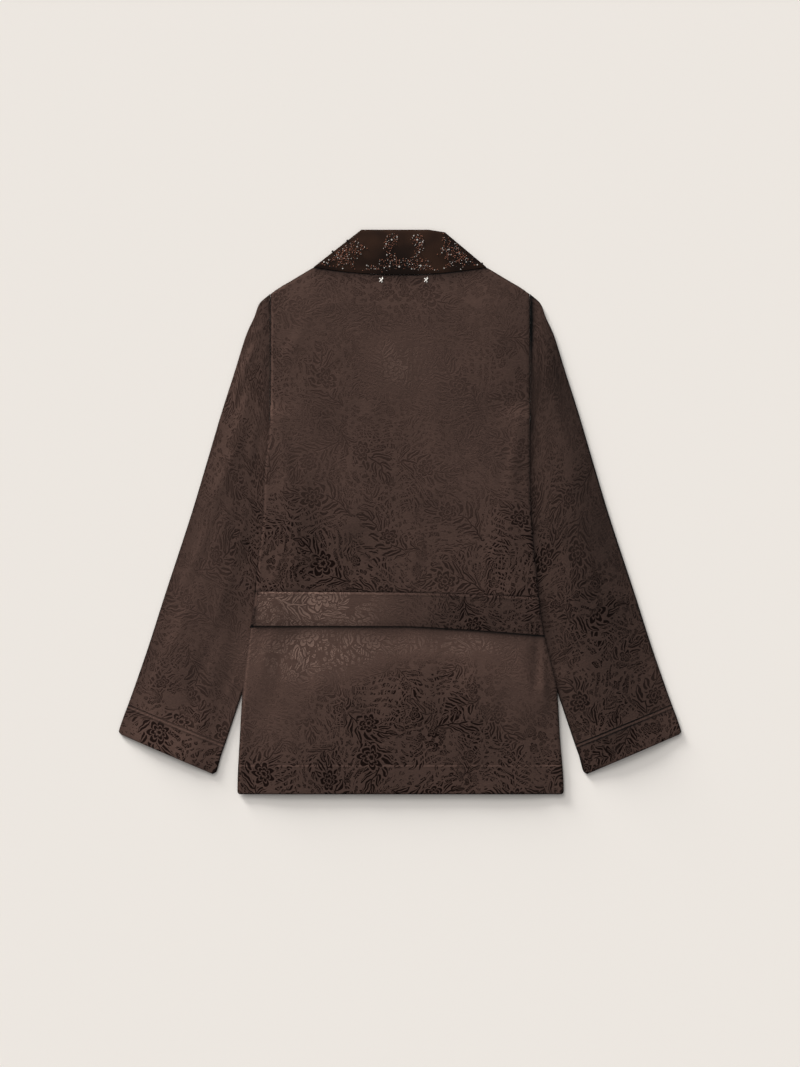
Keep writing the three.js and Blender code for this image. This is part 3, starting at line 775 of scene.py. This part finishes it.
# %% Shader helpers
class Term:
    """A number in a shader formula: + - x / between two of them add one Math node each."""

    def __init__(self, socket):
        self.socket = socket

    def __add__(self, other):
        return maths("ADD", self, other)

    def __mul__(self, other):
        return maths("MULTIPLY", self, other)

    def __sub__(self, other):
        return maths("SUBTRACT", self, other)

    def __truediv__(self, other):
        return maths("DIVIDE", self, other)

    def __rsub__(self, other):
        return maths("SUBTRACT", other, self)

    def __rtruediv__(self, other):
        return maths("DIVIDE", other, self)

    __radd__, __rmul__ = __add__, __mul__

    def beside(self, name):
        """Another output of the same node."""
        return Term(self.socket.node.outputs[name])


def wire(value, socket):
    """Link a Term, or set a number."""
    if isinstance(value, Term):
        socket.id_data.links.new(value.socket, socket)
    else:
        socket.default_value = value


def add_node(tree, kind, values, out=0, **settings):
    """One node with its settings and inputs; returns one output."""
    node = tree.nodes.new("ShaderNode" + kind)
    for key, value in settings.items():
        setattr(node, key, value)
    for key, value in values.items():
        wire(value, node.inputs[key])
    return Term(node.outputs[out])


def maths(operation, *values):
    """One Math node in the tree of the first Term."""
    tree = next(v for v in values if isinstance(v, Term)).socket.id_data
    return add_node(tree, "Math", dict(enumerate(values)), operation=operation)


def vectors(operation, first, second):
    """One Vector Math node; SCALE takes a number as its second value."""
    values = {0: first, "Scale" if operation == "SCALE" else 1: second}
    return add_node(first.socket.id_data, "VectorMath", values, operation=operation)


def soft_step(value, low, high):
    """0 below low, 1 above high, smooth between them."""
    values = dict(enumerate((value, low, high, 0.0, 1.0)))
    return add_node(value.socket.id_data, "MapRange", values, interpolation_type="SMOOTHSTEP")


def noise(place, scale, detail, distortion=0.0, out="Fac"):
    """Noise at a place."""
    values = {"Vector": place, "Scale": scale, "Detail": detail, "Distortion": distortion}
    return add_node(place.socket.id_data, "TexNoise", values, out)


def group(name, inputs, outputs):
    """A node group with its interface; returns (tree, inputs by name, output node)."""
    tree = bpy.data.node_groups.new(name, "ShaderNodeTree")
    for label, kind in inputs.items():
        tree.interface.new_socket(label, in_out="INPUT", socket_type=kind)
    for label in outputs:
        tree.interface.new_socket(label, in_out="OUTPUT", socket_type="NodeSocketFloat")
    source, sink = tree.nodes.new("NodeGroupInput"), tree.nodes.new("NodeGroupOutput")
    return tree, {label: Term(source.outputs[label]) for label in inputs}, sink


def use(tree, made, **values):
    """Outputs by name of a group placed in another tree, its inputs wired by name."""
    node = add_node(tree, "Group", values, node_tree=made).socket.node
    return {socket.name: Term(socket) for socket in node.outputs}


# %% [markdown]
# ## The woven flowers
# A jacquard loom lets the weft float in the shape of a figure. Ours is made of cells: in
# each cell of a loose net, a turned leafy branch with a blossom near its middle, drawn in
# the cell's own coordinates. Large and middle branches lie over each other with a thin
# clear line between them, and small blossoms and berries fill the places left over.

# %% Node group: one flower cell
FULL_TURN = 6.283
CELL_SCATTER = 0.7


def lens(value, half, soft):
    """1 where |value| is under half, softly 0 beyond."""
    return 1.0 - soft_step(maths("ABSOLUTE", value), half, half + soft)


def cell_place(tree, place, cell):
    """A point's turned place in its cell, in cell widths, and the cell's three chances."""
    scaled = vectors("SCALE", place, 1.0 / cell)
    net = {"Vector": scaled, "Scale": 1.0, "Randomness": CELL_SCATTER}
    colour = add_node(tree, "TexVoronoi", net, "Color", voronoi_dimensions="2D")
    red = add_node(tree, "SeparateColor", {0: colour}, "Red")
    away = vectors("SUBTRACT", scaled, colour.beside("Position"))
    turn = {"Vector": away, "Angle": red * FULL_TURN}
    turned = add_node(tree, "VectorRotate", turn, rotation_type="Z_AXIS")
    x = add_node(tree, "SeparateXYZ", {0: turned}, "X")
    return x, x.beside("Y"), red.beside("Green"), red.beside("Blue")


def blossom(x, y, size, petals):
    """Edge = size (0.62 + 0.38 |cos(petals / 2 angle)|). Returns (inside, cover, lines)."""
    scallop = maths("ABSOLUTE", maths("COSINE", maths("ARCTAN2", y, x) * (petals / 2)))
    radius = maths("SQRT", x * x + y * y)
    edge = size * (scallop * 0.38 + 0.62)
    inside = soft_step(edge - radius, 0.0, 0.012)
    cover = soft_step(edge - radius, -0.034, -0.022)
    share = radius / edge
    rays = lens(scallop, 0.1, 0.12) * soft_step(share, 0.3, 0.4)
    rings = maths("MAXIMUM", lens(share - 0.62, 0.035, 0.04), lens(share - 0.27, 0.05, 0.05))
    return inside, cover, maths("MAXIMUM", rays, rings) * inside


def branch(x, y, bend, pitch, tall):
    """Pointed leaves |across| < 0.4 sin(pi level) in pairs on a bent stem; (leaf, cover, line)."""
    bent = y - maths("SINE", x * 5.2 + bend) * 0.1
    taper = 1.0 - maths("POWER", maths("ABSOLUTE", x / 0.56), 2.0)
    away = maths("ABSOLUTE", bent)
    level = away / maths("MAXIMUM", taper * tall, 0.001)
    lean = maths("POWER", level, 1.3) * 1.25
    across = maths("FRACT", x / pitch + maths("SIGN", bent) * 0.25 - lean) - 0.5
    swell = maths("SINE", maths("MINIMUM", level, 1.0) * 3.1416)
    room = swell * 0.4 - maths("ABSOLUTE", across)
    alive = soft_step(taper, 0.0, 0.04)
    leaf = maths("MAXIMUM", soft_step(room, 0.0, 0.06), lens(away, 0.006, 0.008))
    cover = maths("MAXIMUM", soft_step(room, -0.2, -0.12), lens(away, 0.02, 0.01))
    vein = lens(across, 0.05, 0.06) * soft_step(room, 0.1, 0.2)
    return leaf * alive, cover * alive, vein * alive


def flower_cell(name, size, petals, pitch, tall):
    """A blossom over a branch; pitch 0 leaves the branch out. Lines are cut out of both."""
    inputs = {"Place": "NodeSocketVector", "Cell": "NodeSocketFloat"}
    tree, given, sink = group(name, inputs, ["Figure", "Cover"])
    x, y, chance, other = cell_place(tree, given["Place"], given["Cell"])
    grown = chance * (size * 0.45) + size * 0.75
    middle = x - (other * 0.3 - 0.15) if pitch else x
    inside, cover, lines = blossom(middle, y, grown, petals)
    figure = inside - lines
    if pitch:
        leaf, leaf_cover, vein = branch(x, y, other * 6.0, pitch, tall)
        figure = maths("MAXIMUM", figure, (leaf - vein) * (1.0 - cover))
        cover = maths("MAXIMUM", cover, leaf_cover)
    wire(figure, sink.inputs["Figure"])
    wire(cover, sink.inputs["Cover"])
    return tree


# %% [markdown]
# ## The whole weave
# Four sizes of cell lie over each other, the largest on top, and a slow noise lets each in
# only here and there, so that no repeat shows. A fine noise stands for single threads. The
# figure's outlines are bent a little, because a loom draws them in steps.

# %% Node group: the whole weave
LAYERS = [  # name, blossom size, petals, leaf pitch, leaf length (all in cell widths);
    # then cell width, offset, noise scale, let in from and fully at
    ("large flower", 0.165, 7, 0.165, 0.24, 0.096, 3.13, 7.0, 0.37, 0.40),
    ("middle flower", 0.14, 5, 0.21, 0.3, 0.064, 5.31, 9.0, 0.36, 0.39),
    ("small flower", 0.4, 5, 0, 0, 0.0205, 9.72, 16.0, 0.38, 0.41),
    ("berry", 0.42, 2, 0, 0, 0.0088, 12.4, 22.0, 0.38, 0.42),
]
WOBBLE_SCALE, WOBBLE_SHIFT = 42.0, 0.0145  # bends every outline as a loom's steps do
THREAD_SCALE = 300.0


def woven_flowers():
    """Each layer adds its figure where the layers before it left cover free."""
    inputs = {"Place": "NodeSocketVector"}
    tree, given, sink = group("woven flowers", inputs, ["Figure", "Thread"])
    wobble = noise(given["Place"], WOBBLE_SCALE, 2.0, out="Color")
    shift = vectors("SCALE", vectors("SUBTRACT", wobble, (0.5, 0.5, 0.5)), WOBBLE_SHIFT)
    place = vectors("ADD", given["Place"], shift)
    figure, free = 0.0, 1.0
    for name, size, petals, pitch, tall, cell, offset, scale, low, high in LAYERS:
        moved = vectors("ADD", place, (offset, offset * 1.7, 0.0))
        drawn = use(tree, flower_cell(name, size, petals, pitch, tall), Place=moved, Cell=cell)
        let_in = soft_step(noise(moved, scale, 1.0), low, high)
        figure = maths("MAXIMUM", figure, drawn["Figure"] * (let_in * free))
        free = free * (1.0 - drawn["Cover"] * let_in)
    wire(figure, sink.inputs["Figure"])
    stretched = vectors("MULTIPLY", given["Place"], (1.0, 2.0, 1.0))
    wire(noise(stretched, THREAD_SCALE, 2.0, 0.8), sink.inputs["Thread"])
    return tree


flowers = woven_flowers()
print("node groups:", [g.name for g in bpy.data.node_groups])


# %% [markdown]
# ## Materials
# The ground of the satin is a warm dark brown, lightened and darkened by painted light and
# shade and by slow patches of painted sheen. Where the figure lies, the threads turn the
# light away, so it shows darker and shines less, or it is painted brighter, as if it caught
# the light, where the tone and sheen patches say so. The collar and bands are the plain face
# of a blacker satin with soft painted lights.

# %% Materials
SHEEN_ROUGHNESS = 0.45


def material(name, roughness, sheen, specular):
    """A material with one Principled shader; constant values are set on its own sockets."""
    made = bpy.data.materials.new(name)
    made.use_nodes = True
    shader = made.node_tree.nodes["Principled BSDF"]
    shader.inputs["Roughness"].default_value = roughness
    shader.inputs["Sheen Weight"].default_value = sheen
    shader.inputs["Sheen Roughness"].default_value = SHEEN_ROUGHNESS
    shader.inputs["Specular IOR Level"].default_value = specular
    return made, made.node_tree, shader


def attribute(tree, name, out="Fac"):
    """The piece's own attribute."""
    return add_node(tree, "Attribute", {}, out, attribute_name=name)


def blend_colours(share, first, second):
    """Mix of two colours by share: inputs 6 and 7 and output 2 of a Mix node are colours."""
    values = {0: share, 6: first, 7: second}
    return add_node(share.socket.id_data, "Mix", values, 2, data_type="RGBA")


def bumped(tree, shader, height, strength, distance):
    """A Bump node that feeds the shader's normal."""
    values = {"Strength": strength, "Distance": distance, "Height": height}
    wire(add_node(tree, "Bump", values), shader.inputs["Normal"])


GROUND = (0.0598, 0.0345, 0.0272, 1.0)
DARK = (0.0055, 0.0028, 0.0023, 1.0)
# Painted highlight colour of the figure where it is painted bright.
SHEEN_BRIGHT = (0.158, 0.102, 0.082, 1.0)
DARKEN, MOST_DARK, MOST_BRIGHT = 1.15, 0.94, 0.9
SHEEN_MOTTLE, GRAIN = 0.5, 0.8  # slow patches of painted sheen, and single threads
SPECULAR, SPECULAR_LOSS = 0.2, 0.16  # the dark figure shines less
FIGURE_SUNK = 0.9


def figured_satin():
    """Ground mixed towards dark where figure x tone and sheen < 0 and towards the painted highlight
    where it is > 0.
    """
    made, tree, shader = material("figured_satin", 0.6, 0.03, SPECULAR)
    place = attribute(tree, "cloth", "Vector")
    tone_and_sheen, painted_shading = attribute(tree, "tone_and_sheen"), attribute(tree, "painted_shading")
    weave = use(tree, flowers, Place=place)
    figure, thread = weave["Figure"], weave["Thread"]
    darker = figure * maths("MAXIMUM", tone_and_sheen * -DARKEN, 0.0)
    brighter = figure * maths("MAXIMUM", tone_and_sheen, 0.0)
    # Slow patches of painted sheen, lighter and darker.
    painted_sheen = (noise(place, 11.0, 3.0) - 0.5) * SHEEN_MOTTLE
    grain = (thread - 0.5) * GRAIN
    colour = blend_colours(maths("MINIMUM", darker, MOST_DARK), GROUND, DARK)
    # Towards the painted highlight where the figure is painted bright.
    colour = blend_colours(maths("MINIMUM", brighter, MOST_BRIGHT), colour, SHEEN_BRIGHT)
    # Painted light and shade, painted sheen and single threads scale the colour.
    wire(vectors("SCALE", colour, 1.0 + painted_shading + painted_sheen + grain), shader.inputs["Base Color"])
    wire(SPECULAR - darker * SPECULAR_LOSS, shader.inputs["Specular IOR Level"])
    bumped(tree, shader, thread - figure * FIGURE_SUNK, 0.55, 0.0006)
    return made


SATIN_SHADE = (0.0095, 0.0042, 0.0026, 1.0)
SATIN_LIGHT = (0.034, 0.0152, 0.0085, 1.0)


def plain_satin():
    """Dark satin with soft long lights."""
    made, tree, shader = material("plain_satin", 0.5, 0.02, 0.15)
    place = attribute(tree, "cloth", "Vector")
    # Painted sheen: slow noise blends the shaded satin colour into the lit one.
    painted_sheen = soft_step(noise(place, 16.0, 2.0, 0.4), 0.35, 0.75)
    wire(blend_colours(painted_sheen, SATIN_SHADE, SATIN_LIGHT), shader.inputs["Base Color"])
    bumped(tree, shader, noise(place, 700.0, 1.0), 0.2, 0.0004)
    return made


FIGURED, PLAIN = figured_satin(), plain_satin()
for piece in [back, belt, *fronts.values(), *sleeves.values(), *cuffs.values()]:
    piece.data.materials.append(FIGURED)
for piece in [collar, *bands.values()]:
    piece.data.materials.append(PLAIN)
print("materials:", FIGURED.name, PLAIN.name)


# %% [markdown]
# ## Glass beads on the collar
# The collar carries sprays of small copper and dark beads with a few bright stones: one at
# each end, slanting up from the neck seam, two upright ones with round heads near the
# middle, and a low row between them. Each spray is a stem with side twigs; beads sit along
# them at even distances, a little scattered, so that they look sewn by hand. All beads of
# a colour are one joined mesh.

# %% Beads
BEAD_RINGS, BEAD_SIDES = 4, 7
BEAD_STEP, BEAD_SCATTER, BEAD_SIZES = 1.7, 1.15, (0.5, 0.85)
COPPER_UP_TO, BRIGHT_UP_TO = 0.62, 0.76  # shares of the small beads; the rest are dark
STONE_SCALE, EDGE_SIZE, EDGE_HEIGHT = 0.82, 1.6, 4.2
SPRAYS = [  # root x and y, angle, length, bend, twigs, twig length
    (-112, 357, 24, 62, 15, 9, 15), (-92, 356, 48, 44, -7, 7, 13), (-66, 353, 130, 34, 7, 6, 11),
    (-56, 350, 10, 42, -5, 4, 6), (-98, 368, 36, 26, 4, 5, 8), (112, 357, 156, 62, -15, 9, 15),
    (92, 356, 132, 44, 7, 7, 13), (66, 353, 50, 34, -7, 6, 11), (56, 350, 170, 42, 5, 4, 6),
    (98, 366, 144, 26, -4, 5, 8), (-62, 370, 62, 20, 2, 4, 6), (66, 368, 60, 16, 3, 4, 6),
    (-13, 366, 96, 24, 3, 5, 6), (24, 366, 84, 24, -3, 5, 6), (-24, 380, 60, 12, 2, 2, 4),
    (34, 380, 120, 12, -2, 2, 4), (-44, 356, 2, 90, -3, 12, 7), (-30, 365, -6, 40, 3, 6, 6),
    (8, 362, 6, 36, -3, 6, 6), (-6, 357, 100, 16, 2, 3, 5), (14, 357, 80, 14, -2, 3, 5),
]
HEADS = [  # rings: x, y, radius
    (-12, 394, 8), (-12, 394, 4.6), (25, 394, 8), (25, 394, 4.6), (-84, 374, 6),
]
STONES = [  # x, y, radius of the larger bright stones
    (-15, 355.5, 1.7), (-1, 355, 2.1), (30, 356.5, 2.1), (17, 352, 1.5), (-19, 372, 1.5),
    (-12, 394, 1.9), (-20, 388, 1.6), (-4, 398, 1.4), (25, 394, 1.9), (20, 400, 1.6),
    (33, 391, 1.5), (28, 376, 1.6), (-110, 362, 1.7), (-103, 365, 1.4), (-83, 352.5, 1.5),
    (-62, 384, 1.4), (71, 380, 1.5), (64, 353, 1.5), (88, 351.5, 1.4), (112, 358, 1.5),
    (-48, 357, 1.4), (-90, 368, 1.3), (96, 362, 1.3), (-36, 352, 1.2), (50, 350.5, 1.2),
]
OVER_EDGE = [(-76.4, 393.2), (-97.8, 377.6), (106.4, 368.6), (119.0, 360.2)]  # a few pass the ends


def unit_bead():
    """Points and faces of a small ball: BEAD_RINGS - 1 rings of BEAD_SIDES and two poles."""
    turn = 2 * np.pi * np.arange(BEAD_SIDES) / BEAD_SIDES
    points = [np.array([[0, 0, 1.0]])]
    for ring in range(1, BEAD_RINGS):
        a = np.pi * ring / BEAD_RINGS
        across, up = np.sin(a), np.full(BEAD_SIDES, np.cos(a))
        points.append(np.stack([across * np.cos(turn), across * np.sin(turn), up], axis=1))
    points.append(np.array([[0, 0, -1.0]]))
    points = np.concatenate(points)
    i = np.arange(BEAD_SIDES)
    j = (i + 1) % BEAD_SIDES
    last = len(points) - 1
    faces = [np.stack([0 * i, 1 + i, 1 + j], axis=1)]
    for ring in range(BEAD_RINGS - 2):
        a, b = 1 + ring * BEAD_SIDES, 1 + (ring + 1) * BEAD_SIDES
        faces += [np.stack([a + i, b + i, b + j], axis=1), np.stack([a + i, b + j, a + j], axis=1)]
    foot = 1 + (BEAD_RINGS - 2) * BEAD_SIDES
    faces.append(np.stack([0 * i + last, foot + j, foot + i], axis=1))
    return points, np.concatenate(faces)


# %% [markdown]
# ## Where a bead sits
# A bead is sewn to the face of the collar, so its height is read from the collar's own
# function. A Geometry Nodes scatter could do the same, but the sprays need to follow drawn
# stems, and a formula for each stem and twig keeps them in place.

# %% Places on the collar
COLLAR_FOOT, COLLAR_DEPTH, COLLAR_EDGE_Y = 350, 55, 407


def collar_ends(v):
    """x of the collar's two slanting ends at share v of its height."""
    return mix(-NECK_X, COLLAR_TOP[0, 0], v), mix(NECK_X, COLLAR_TOP[-1, 0], v)


def collar_height(x, y):
    """Height of the collar's face at a point: v from y, then u from x."""
    v = np.clip((y - COLLAR_FOOT) / COLLAR_DEPTH, 0.02, 0.98)
    left, right = collar_ends(v)
    u = np.clip((x - left) / (right - left), 0.01, 0.99)
    return collar_place(u, v)[2]


def on_collar(x, y):
    """True inside the collar's outline, 2 mm clear of its ends."""
    v = (y - back_top(x)) / (COLLAR_EDGE_Y - back_top(x))
    left, right = collar_ends(v)
    return (v > 0.05) & (v < 0.95) & (x > left + 2) & (x < right - 2)


def spray_beads(rng):
    """Places a step apart along each stem, its twigs and the rings, with a small scatter."""
    places = []
    for x, y, angle, length, bend, twigs, twig in SPRAYS:
        direction = np.array([np.cos(np.radians(angle)), np.sin(np.radians(angle))])
        normal = np.array([-direction[1], direction[0]])
        share = np.arange(0, 1, BEAD_STEP / length)[:, None]
        stem = np.array([x, y]) + share * length * direction + bend * share**2 * normal
        places.append(stem)
        for k in range(twigs):
            start = stem[int((k + 1) / (twigs + 1) * len(stem))]
            side = 1 if k % 2 else -1
            lean = direction * 0.62 + side * normal * 0.78
            step = np.arange(0.2, 1, BEAD_STEP / twig)[:, None]
            places.append(start + step * twig * lean - side * 2.2 * step**2 * direction)
    for x, y, reach in HEADS:
        turn = np.arange(0, 2 * np.pi, BEAD_STEP / reach)
        places.append(np.column_stack([x + reach * np.cos(turn), y + reach * np.sin(turn)]))
    places = np.concatenate(places)
    return places + rng.normal(0, BEAD_SCATTER, places.shape)


def bead_mesh(name, centres, radii):
    """One mesh of balls: the unit bead scaled by each radius and set at each centre."""
    unit, faces = unit_bead()
    points = centres[:, None, :] + radii[:, None, None] * unit[None]
    joined = faces[None] + (np.arange(len(centres)) * len(unit))[:, None, None]
    return make_mesh(name, points, joined.reshape(-1, 3))


# %% [markdown]
# ## Sewing the beads on
# One seeded generator draws the scatter, the sizes and which bead is copper, bright or
# dark, so that every run gives the same collar. Beads that would fall off the collar are
# left out, and a few dark ones are set one by one over its ends.

# %% Beads in place
rng = np.random.default_rng(21)
seeds = spray_beads(rng)
seeds = seeds[on_collar(seeds[:, 0], seeds[:, 1])]
kind = rng.random(len(seeds))
radius = rng.uniform(*BEAD_SIZES, len(seeds))
centres = np.column_stack([seeds, collar_height(seeds[:, 0], seeds[:, 1]) + radius * 0.8])
is_copper, is_dark = kind < COPPER_UP_TO, kind >= BRIGHT_UP_TO
is_bright = ~is_copper & ~is_dark
copper = bead_mesh("beads_copper", centres[is_copper], radius[is_copper])
edge_centres = np.column_stack([OVER_EDGE, np.full(len(OVER_EDGE), EDGE_HEIGHT)])
edge_sizes = np.full(len(OVER_EDGE), EDGE_SIZE)
dark_beads = bead_mesh(
    "beads_dark",
    np.concatenate([centres[is_dark], edge_centres]),
    np.concatenate([radius[is_dark], edge_sizes]),
)
stone_x, stone_y, stone_size = np.array(STONES).T
stone_size = stone_size * STONE_SCALE
stone_z = collar_height(stone_x, stone_y) + stone_size * 0.7
stones = bead_mesh(
    "beads_bright",
    np.concatenate([np.column_stack([stone_x, stone_y, stone_z]), centres[is_bright]]),
    np.concatenate([stone_size, radius[is_bright]]),
)

# %% [markdown]
# ## Two thread tacks below the collar
# A pair of short tacks in pale thread holds something inside: each is a long upright
# stitch crossed by two short ones. A stitch is a thin tube that rises from the cloth and
# goes back into it.

# %% Tacks
TACKS = [(-27.0, 336.0), (38.0, 336.0)]
STITCHES = [  # x, y, angle, length
    (0.9, 0.2, 80, 9.2), (0.0, 0.2, 45, 8.4), (-0.2, -0.2, 128, 8.0),
]
THREAD = 0.55


def tube_mesh(name, lines, radius, sides=8):
    """Tubes round paths of equal length; the ring at each point stands across the path."""
    points, faces, start = [], [], 0
    for line in lines:
        ahead = np.gradient(line, axis=0)
        ahead /= np.linalg.norm(ahead, axis=1, keepdims=True)
        across = np.cross(ahead, [0, 0, 1.0])
        across /= np.linalg.norm(across, axis=1, keepdims=True)
        up = np.cross(across, ahead)
        turn = 2 * np.pi * np.arange(sides) / sides
        thin = radius * np.sqrt(np.clip(1 - np.linspace(-1, 1, len(line)) ** 8, 0.05, 1))
        ring = across[:, None] * np.cos(turn)[:, None] + up[:, None] * np.sin(turn)[:, None]
        points.append((line[:, None] + thin[:, None, None] * ring).reshape(-1, 3))
        n = np.arange(len(line) * sides).reshape(len(line), sides) + start
        n2 = np.roll(n, -1, axis=1)
        faces += quads(n[:-1], n2[:-1], n2[1:], n[1:]).tolist()
        faces += [n[0][::-1].tolist(), n[-1].tolist()]
        start += len(line) * sides
    mesh = bpy.data.meshes.new(name)
    mesh.from_pydata((np.concatenate(points) * MM).tolist(), [], faces)
    mesh.shade_smooth()
    obj = bpy.data.objects.new(name, mesh)
    bpy.context.scene.collection.objects.link(obj)
    print(f"{name}: {len(mesh.vertices)} points, {len(mesh.polygons)} faces")
    return obj


def tack_lines(x, y):
    """Paths of one tack's stitches: half an arch over the cloth, z = foot + rise sin(pi s)."""
    s = np.linspace(0, 1, 13)
    ground = back_faces(np.array(x), np.array(y))[1]
    lines = []
    for level, (dx, dy, angle, length) in enumerate(STITCHES):
        reach = (s - 0.5) * length
        a = np.radians(angle)
        z = ground - 0.1 + (0.75 + 0.25 * level) * np.sin(np.pi * s) ** 0.6
        lines.append(np.column_stack([x + dx + reach * np.cos(a), y + dy + reach * np.sin(a), z]))
    return lines


tacks = tube_mesh("tacks", [line for x, y in TACKS for line in tack_lines(x, y)], THREAD)


# %% [markdown]
# ## Finish of beads and thread
# Beads are too small for a pattern: one even colour each is enough. Glass could transmit
# light, but opaque glossy beads look the same at this size and render faster.

# %% Materials of beads and thread
def simple(name, colour, roughness, metallic, specular):
    """One even colour."""
    made, _, shader = material(name, roughness, 0.0, specular)
    shader.inputs["Base Color"].default_value = (*colour, 1.0)
    shader.inputs["Metallic"].default_value = metallic
    return made


FINISHES = [  # piece, name, colour, roughness, metallic, specular
    (copper, "copper_glass", (0.25, 0.105, 0.068), 0.22, 0.4, 0.6),
    (dark_beads, "dark_glass", (0.02, 0.013, 0.012), 0.12, 0.0, 0.7),
    (stones, "bright_stone", (0.8, 0.75, 0.7), 0.16, 0.8, 0.7),
    (tacks, "pale_thread", (0.86, 0.83, 0.78), 0.7, 0.0, 0.3),
]
for piece, *finish in FINISHES:
    piece.data.materials.append(simple(*finish))
    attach(piece, "root")
print("small pieces:", [piece.name for piece, *_ in FINISHES])


# %% [markdown]
# ## What stands for what
# Each shell stands for the solid piece that it refines, which is hidden, and moves with the
# one body. The table also gives its finish, how large it was cut before it was sewn, how it
# lies, what it rests on and its flat area; the loop uses only the piece and the node.

# %% Roles
ON_FRONTS = ["front_left_shell", "front_right_shell"]
ROLES = [  # piece, node, slot, flat width and length, how it lies, on what, flat area
    (back, "back", "figured_satin", (0.475, 0.764), "laid", ON_FRONTS, 0.312),
    (fronts["left"], "front_left", "figured_satin", (0.324, 0.760), "laid", ["floor"], 0.163),
    (fronts["right"], "front_right", "figured_satin", (0.324, 0.760), "laid", ON_FRONTS[:1], 0.160),
    (bands["left"], "band_left", "plain_satin", (0.068, 0.82), "laid", ["floor"], 0.053),
    (bands["right"], "band_right", "plain_satin", (0.068, 0.82), "laid", ["front_left_shell"], 0.053),
    (collar, "collar_back", "plain_satin", (0.25, 0.068), "folded", ["band_left_shell"], 0.0125),
    (belt, "belt_back", "figured_satin", (0.42, 0.052), "folded", ["back_shell"], 0.0205),
    (sleeves["left"], "sleeve_left", "figured_satin", (0.33, 0.62), "laid", ["floor"], 0.14),
    (sleeves["right"], "sleeve_right", "figured_satin", (0.33, 0.62), "laid", ["floor"], 0.14),
    (cuffs["left"], "cuff_left", "figured_satin", (0.31, 0.048), "folded", ["floor"], 0.0142),
    (cuffs["right"], "cuff_right", "figured_satin", (0.31, 0.048), "folded", ["floor"], 0.0142),
]
for piece, node, slot, flat, held, rests_on, area in ROLES:
    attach(piece, "root")
    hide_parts(node)
print(len(ROLES), "shells stand for", len(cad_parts), "solid pieces")


# %% [markdown]
# ## Floor, light and camera
# A pale matt floor, a wide soft light and a very low one from the upper left, and an even
# sky, so that the shadow falls a little below and to the right. The low light rakes over
# the cloth and shows its weave. A third, small light only puts a glint on the beads. The
# camera looks straight down from far enough away that the jacket isn't distorted.

# %% Stage and camera
FLOOR_HALF, FLOOR_Z = 20.0, -0.0004  # metres
corners = np.array([(-1, -1), (1, -1), (1, 1), (-1, 1)]) * FLOOR_HALF
floor_mesh = bpy.data.meshes.new("floor")
floor_mesh.from_pydata([(a, b, FLOOR_Z) for a, b in corners.tolist()], [], [(0, 1, 2, 3)])
floor_mesh.materials.append(simple("floor_paper", (0.866, 0.83, 0.79), 0.95, 0.0, 0.1))
floor = bpy.data.objects.new("floor", floor_mesh)
bpy.context.scene.collection.objects.link(floor)

LIGHTS = [  # name, direction, strength, angle, and whether it shows in reflections
    ("key_light", (0.34, -0.80, -0.50), 1.58, 0.6, False),
    ("rake_light", (0.68, -1.00, -0.155), 7.8, 0.34, False),
    ("glint_light", (0.25, -0.50, -1.00), 0.18, 0.16, True),
]
LIGHT_COLOUR, SKY_COLOUR, SKY_STRENGTH = (1.0, 0.985, 0.965), (1.0, 0.99, 0.98, 1.0), 0.355
for name, direction, strength, angle, glossy in LIGHTS:
    lamp = bpy.data.objects.new(name, bpy.data.lights.new(name, "SUN"))
    lamp.data.energy, lamp.data.angle = strength, angle
    lamp.data.color = LIGHT_COLOUR
    lamp.visible_glossy = glossy
    lamp.rotation_mode = "QUATERNION"
    lamp.rotation_quaternion = Vector(direction).to_track_quat("-Z", "Y")
    bpy.context.scene.collection.objects.link(lamp)
world = bpy.context.scene.world or bpy.data.worlds.new("sky")
bpy.context.scene.world = world
world.use_nodes = True
sky = world.node_tree.nodes["Background"]
sky.inputs["Color"].default_value = SKY_COLOUR
sky.inputs["Strength"].default_value = SKY_STRENGTH

CAMERA_HEIGHT, FRAME_HEIGHT, FRAME_CENTRE_Y = 5.0, 1.547, -0.0312  # metres
SENSOR = 36.0
camera = bpy.data.objects.new("camera", bpy.data.cameras.new("camera"))
camera.data.sensor_width = SENSOR
camera.data.lens = SENSOR * CAMERA_HEIGHT / FRAME_HEIGHT
camera.data.clip_end = 50.0
camera.location = (0.0, FRAME_CENTRE_Y, CAMERA_HEIGHT)
bpy.context.scene.collection.objects.link(camera)
bpy.context.scene.camera = camera
bpy.context.scene.view_settings.view_transform = "Standard"
print("camera lens:", round(camera.data.lens, 1))
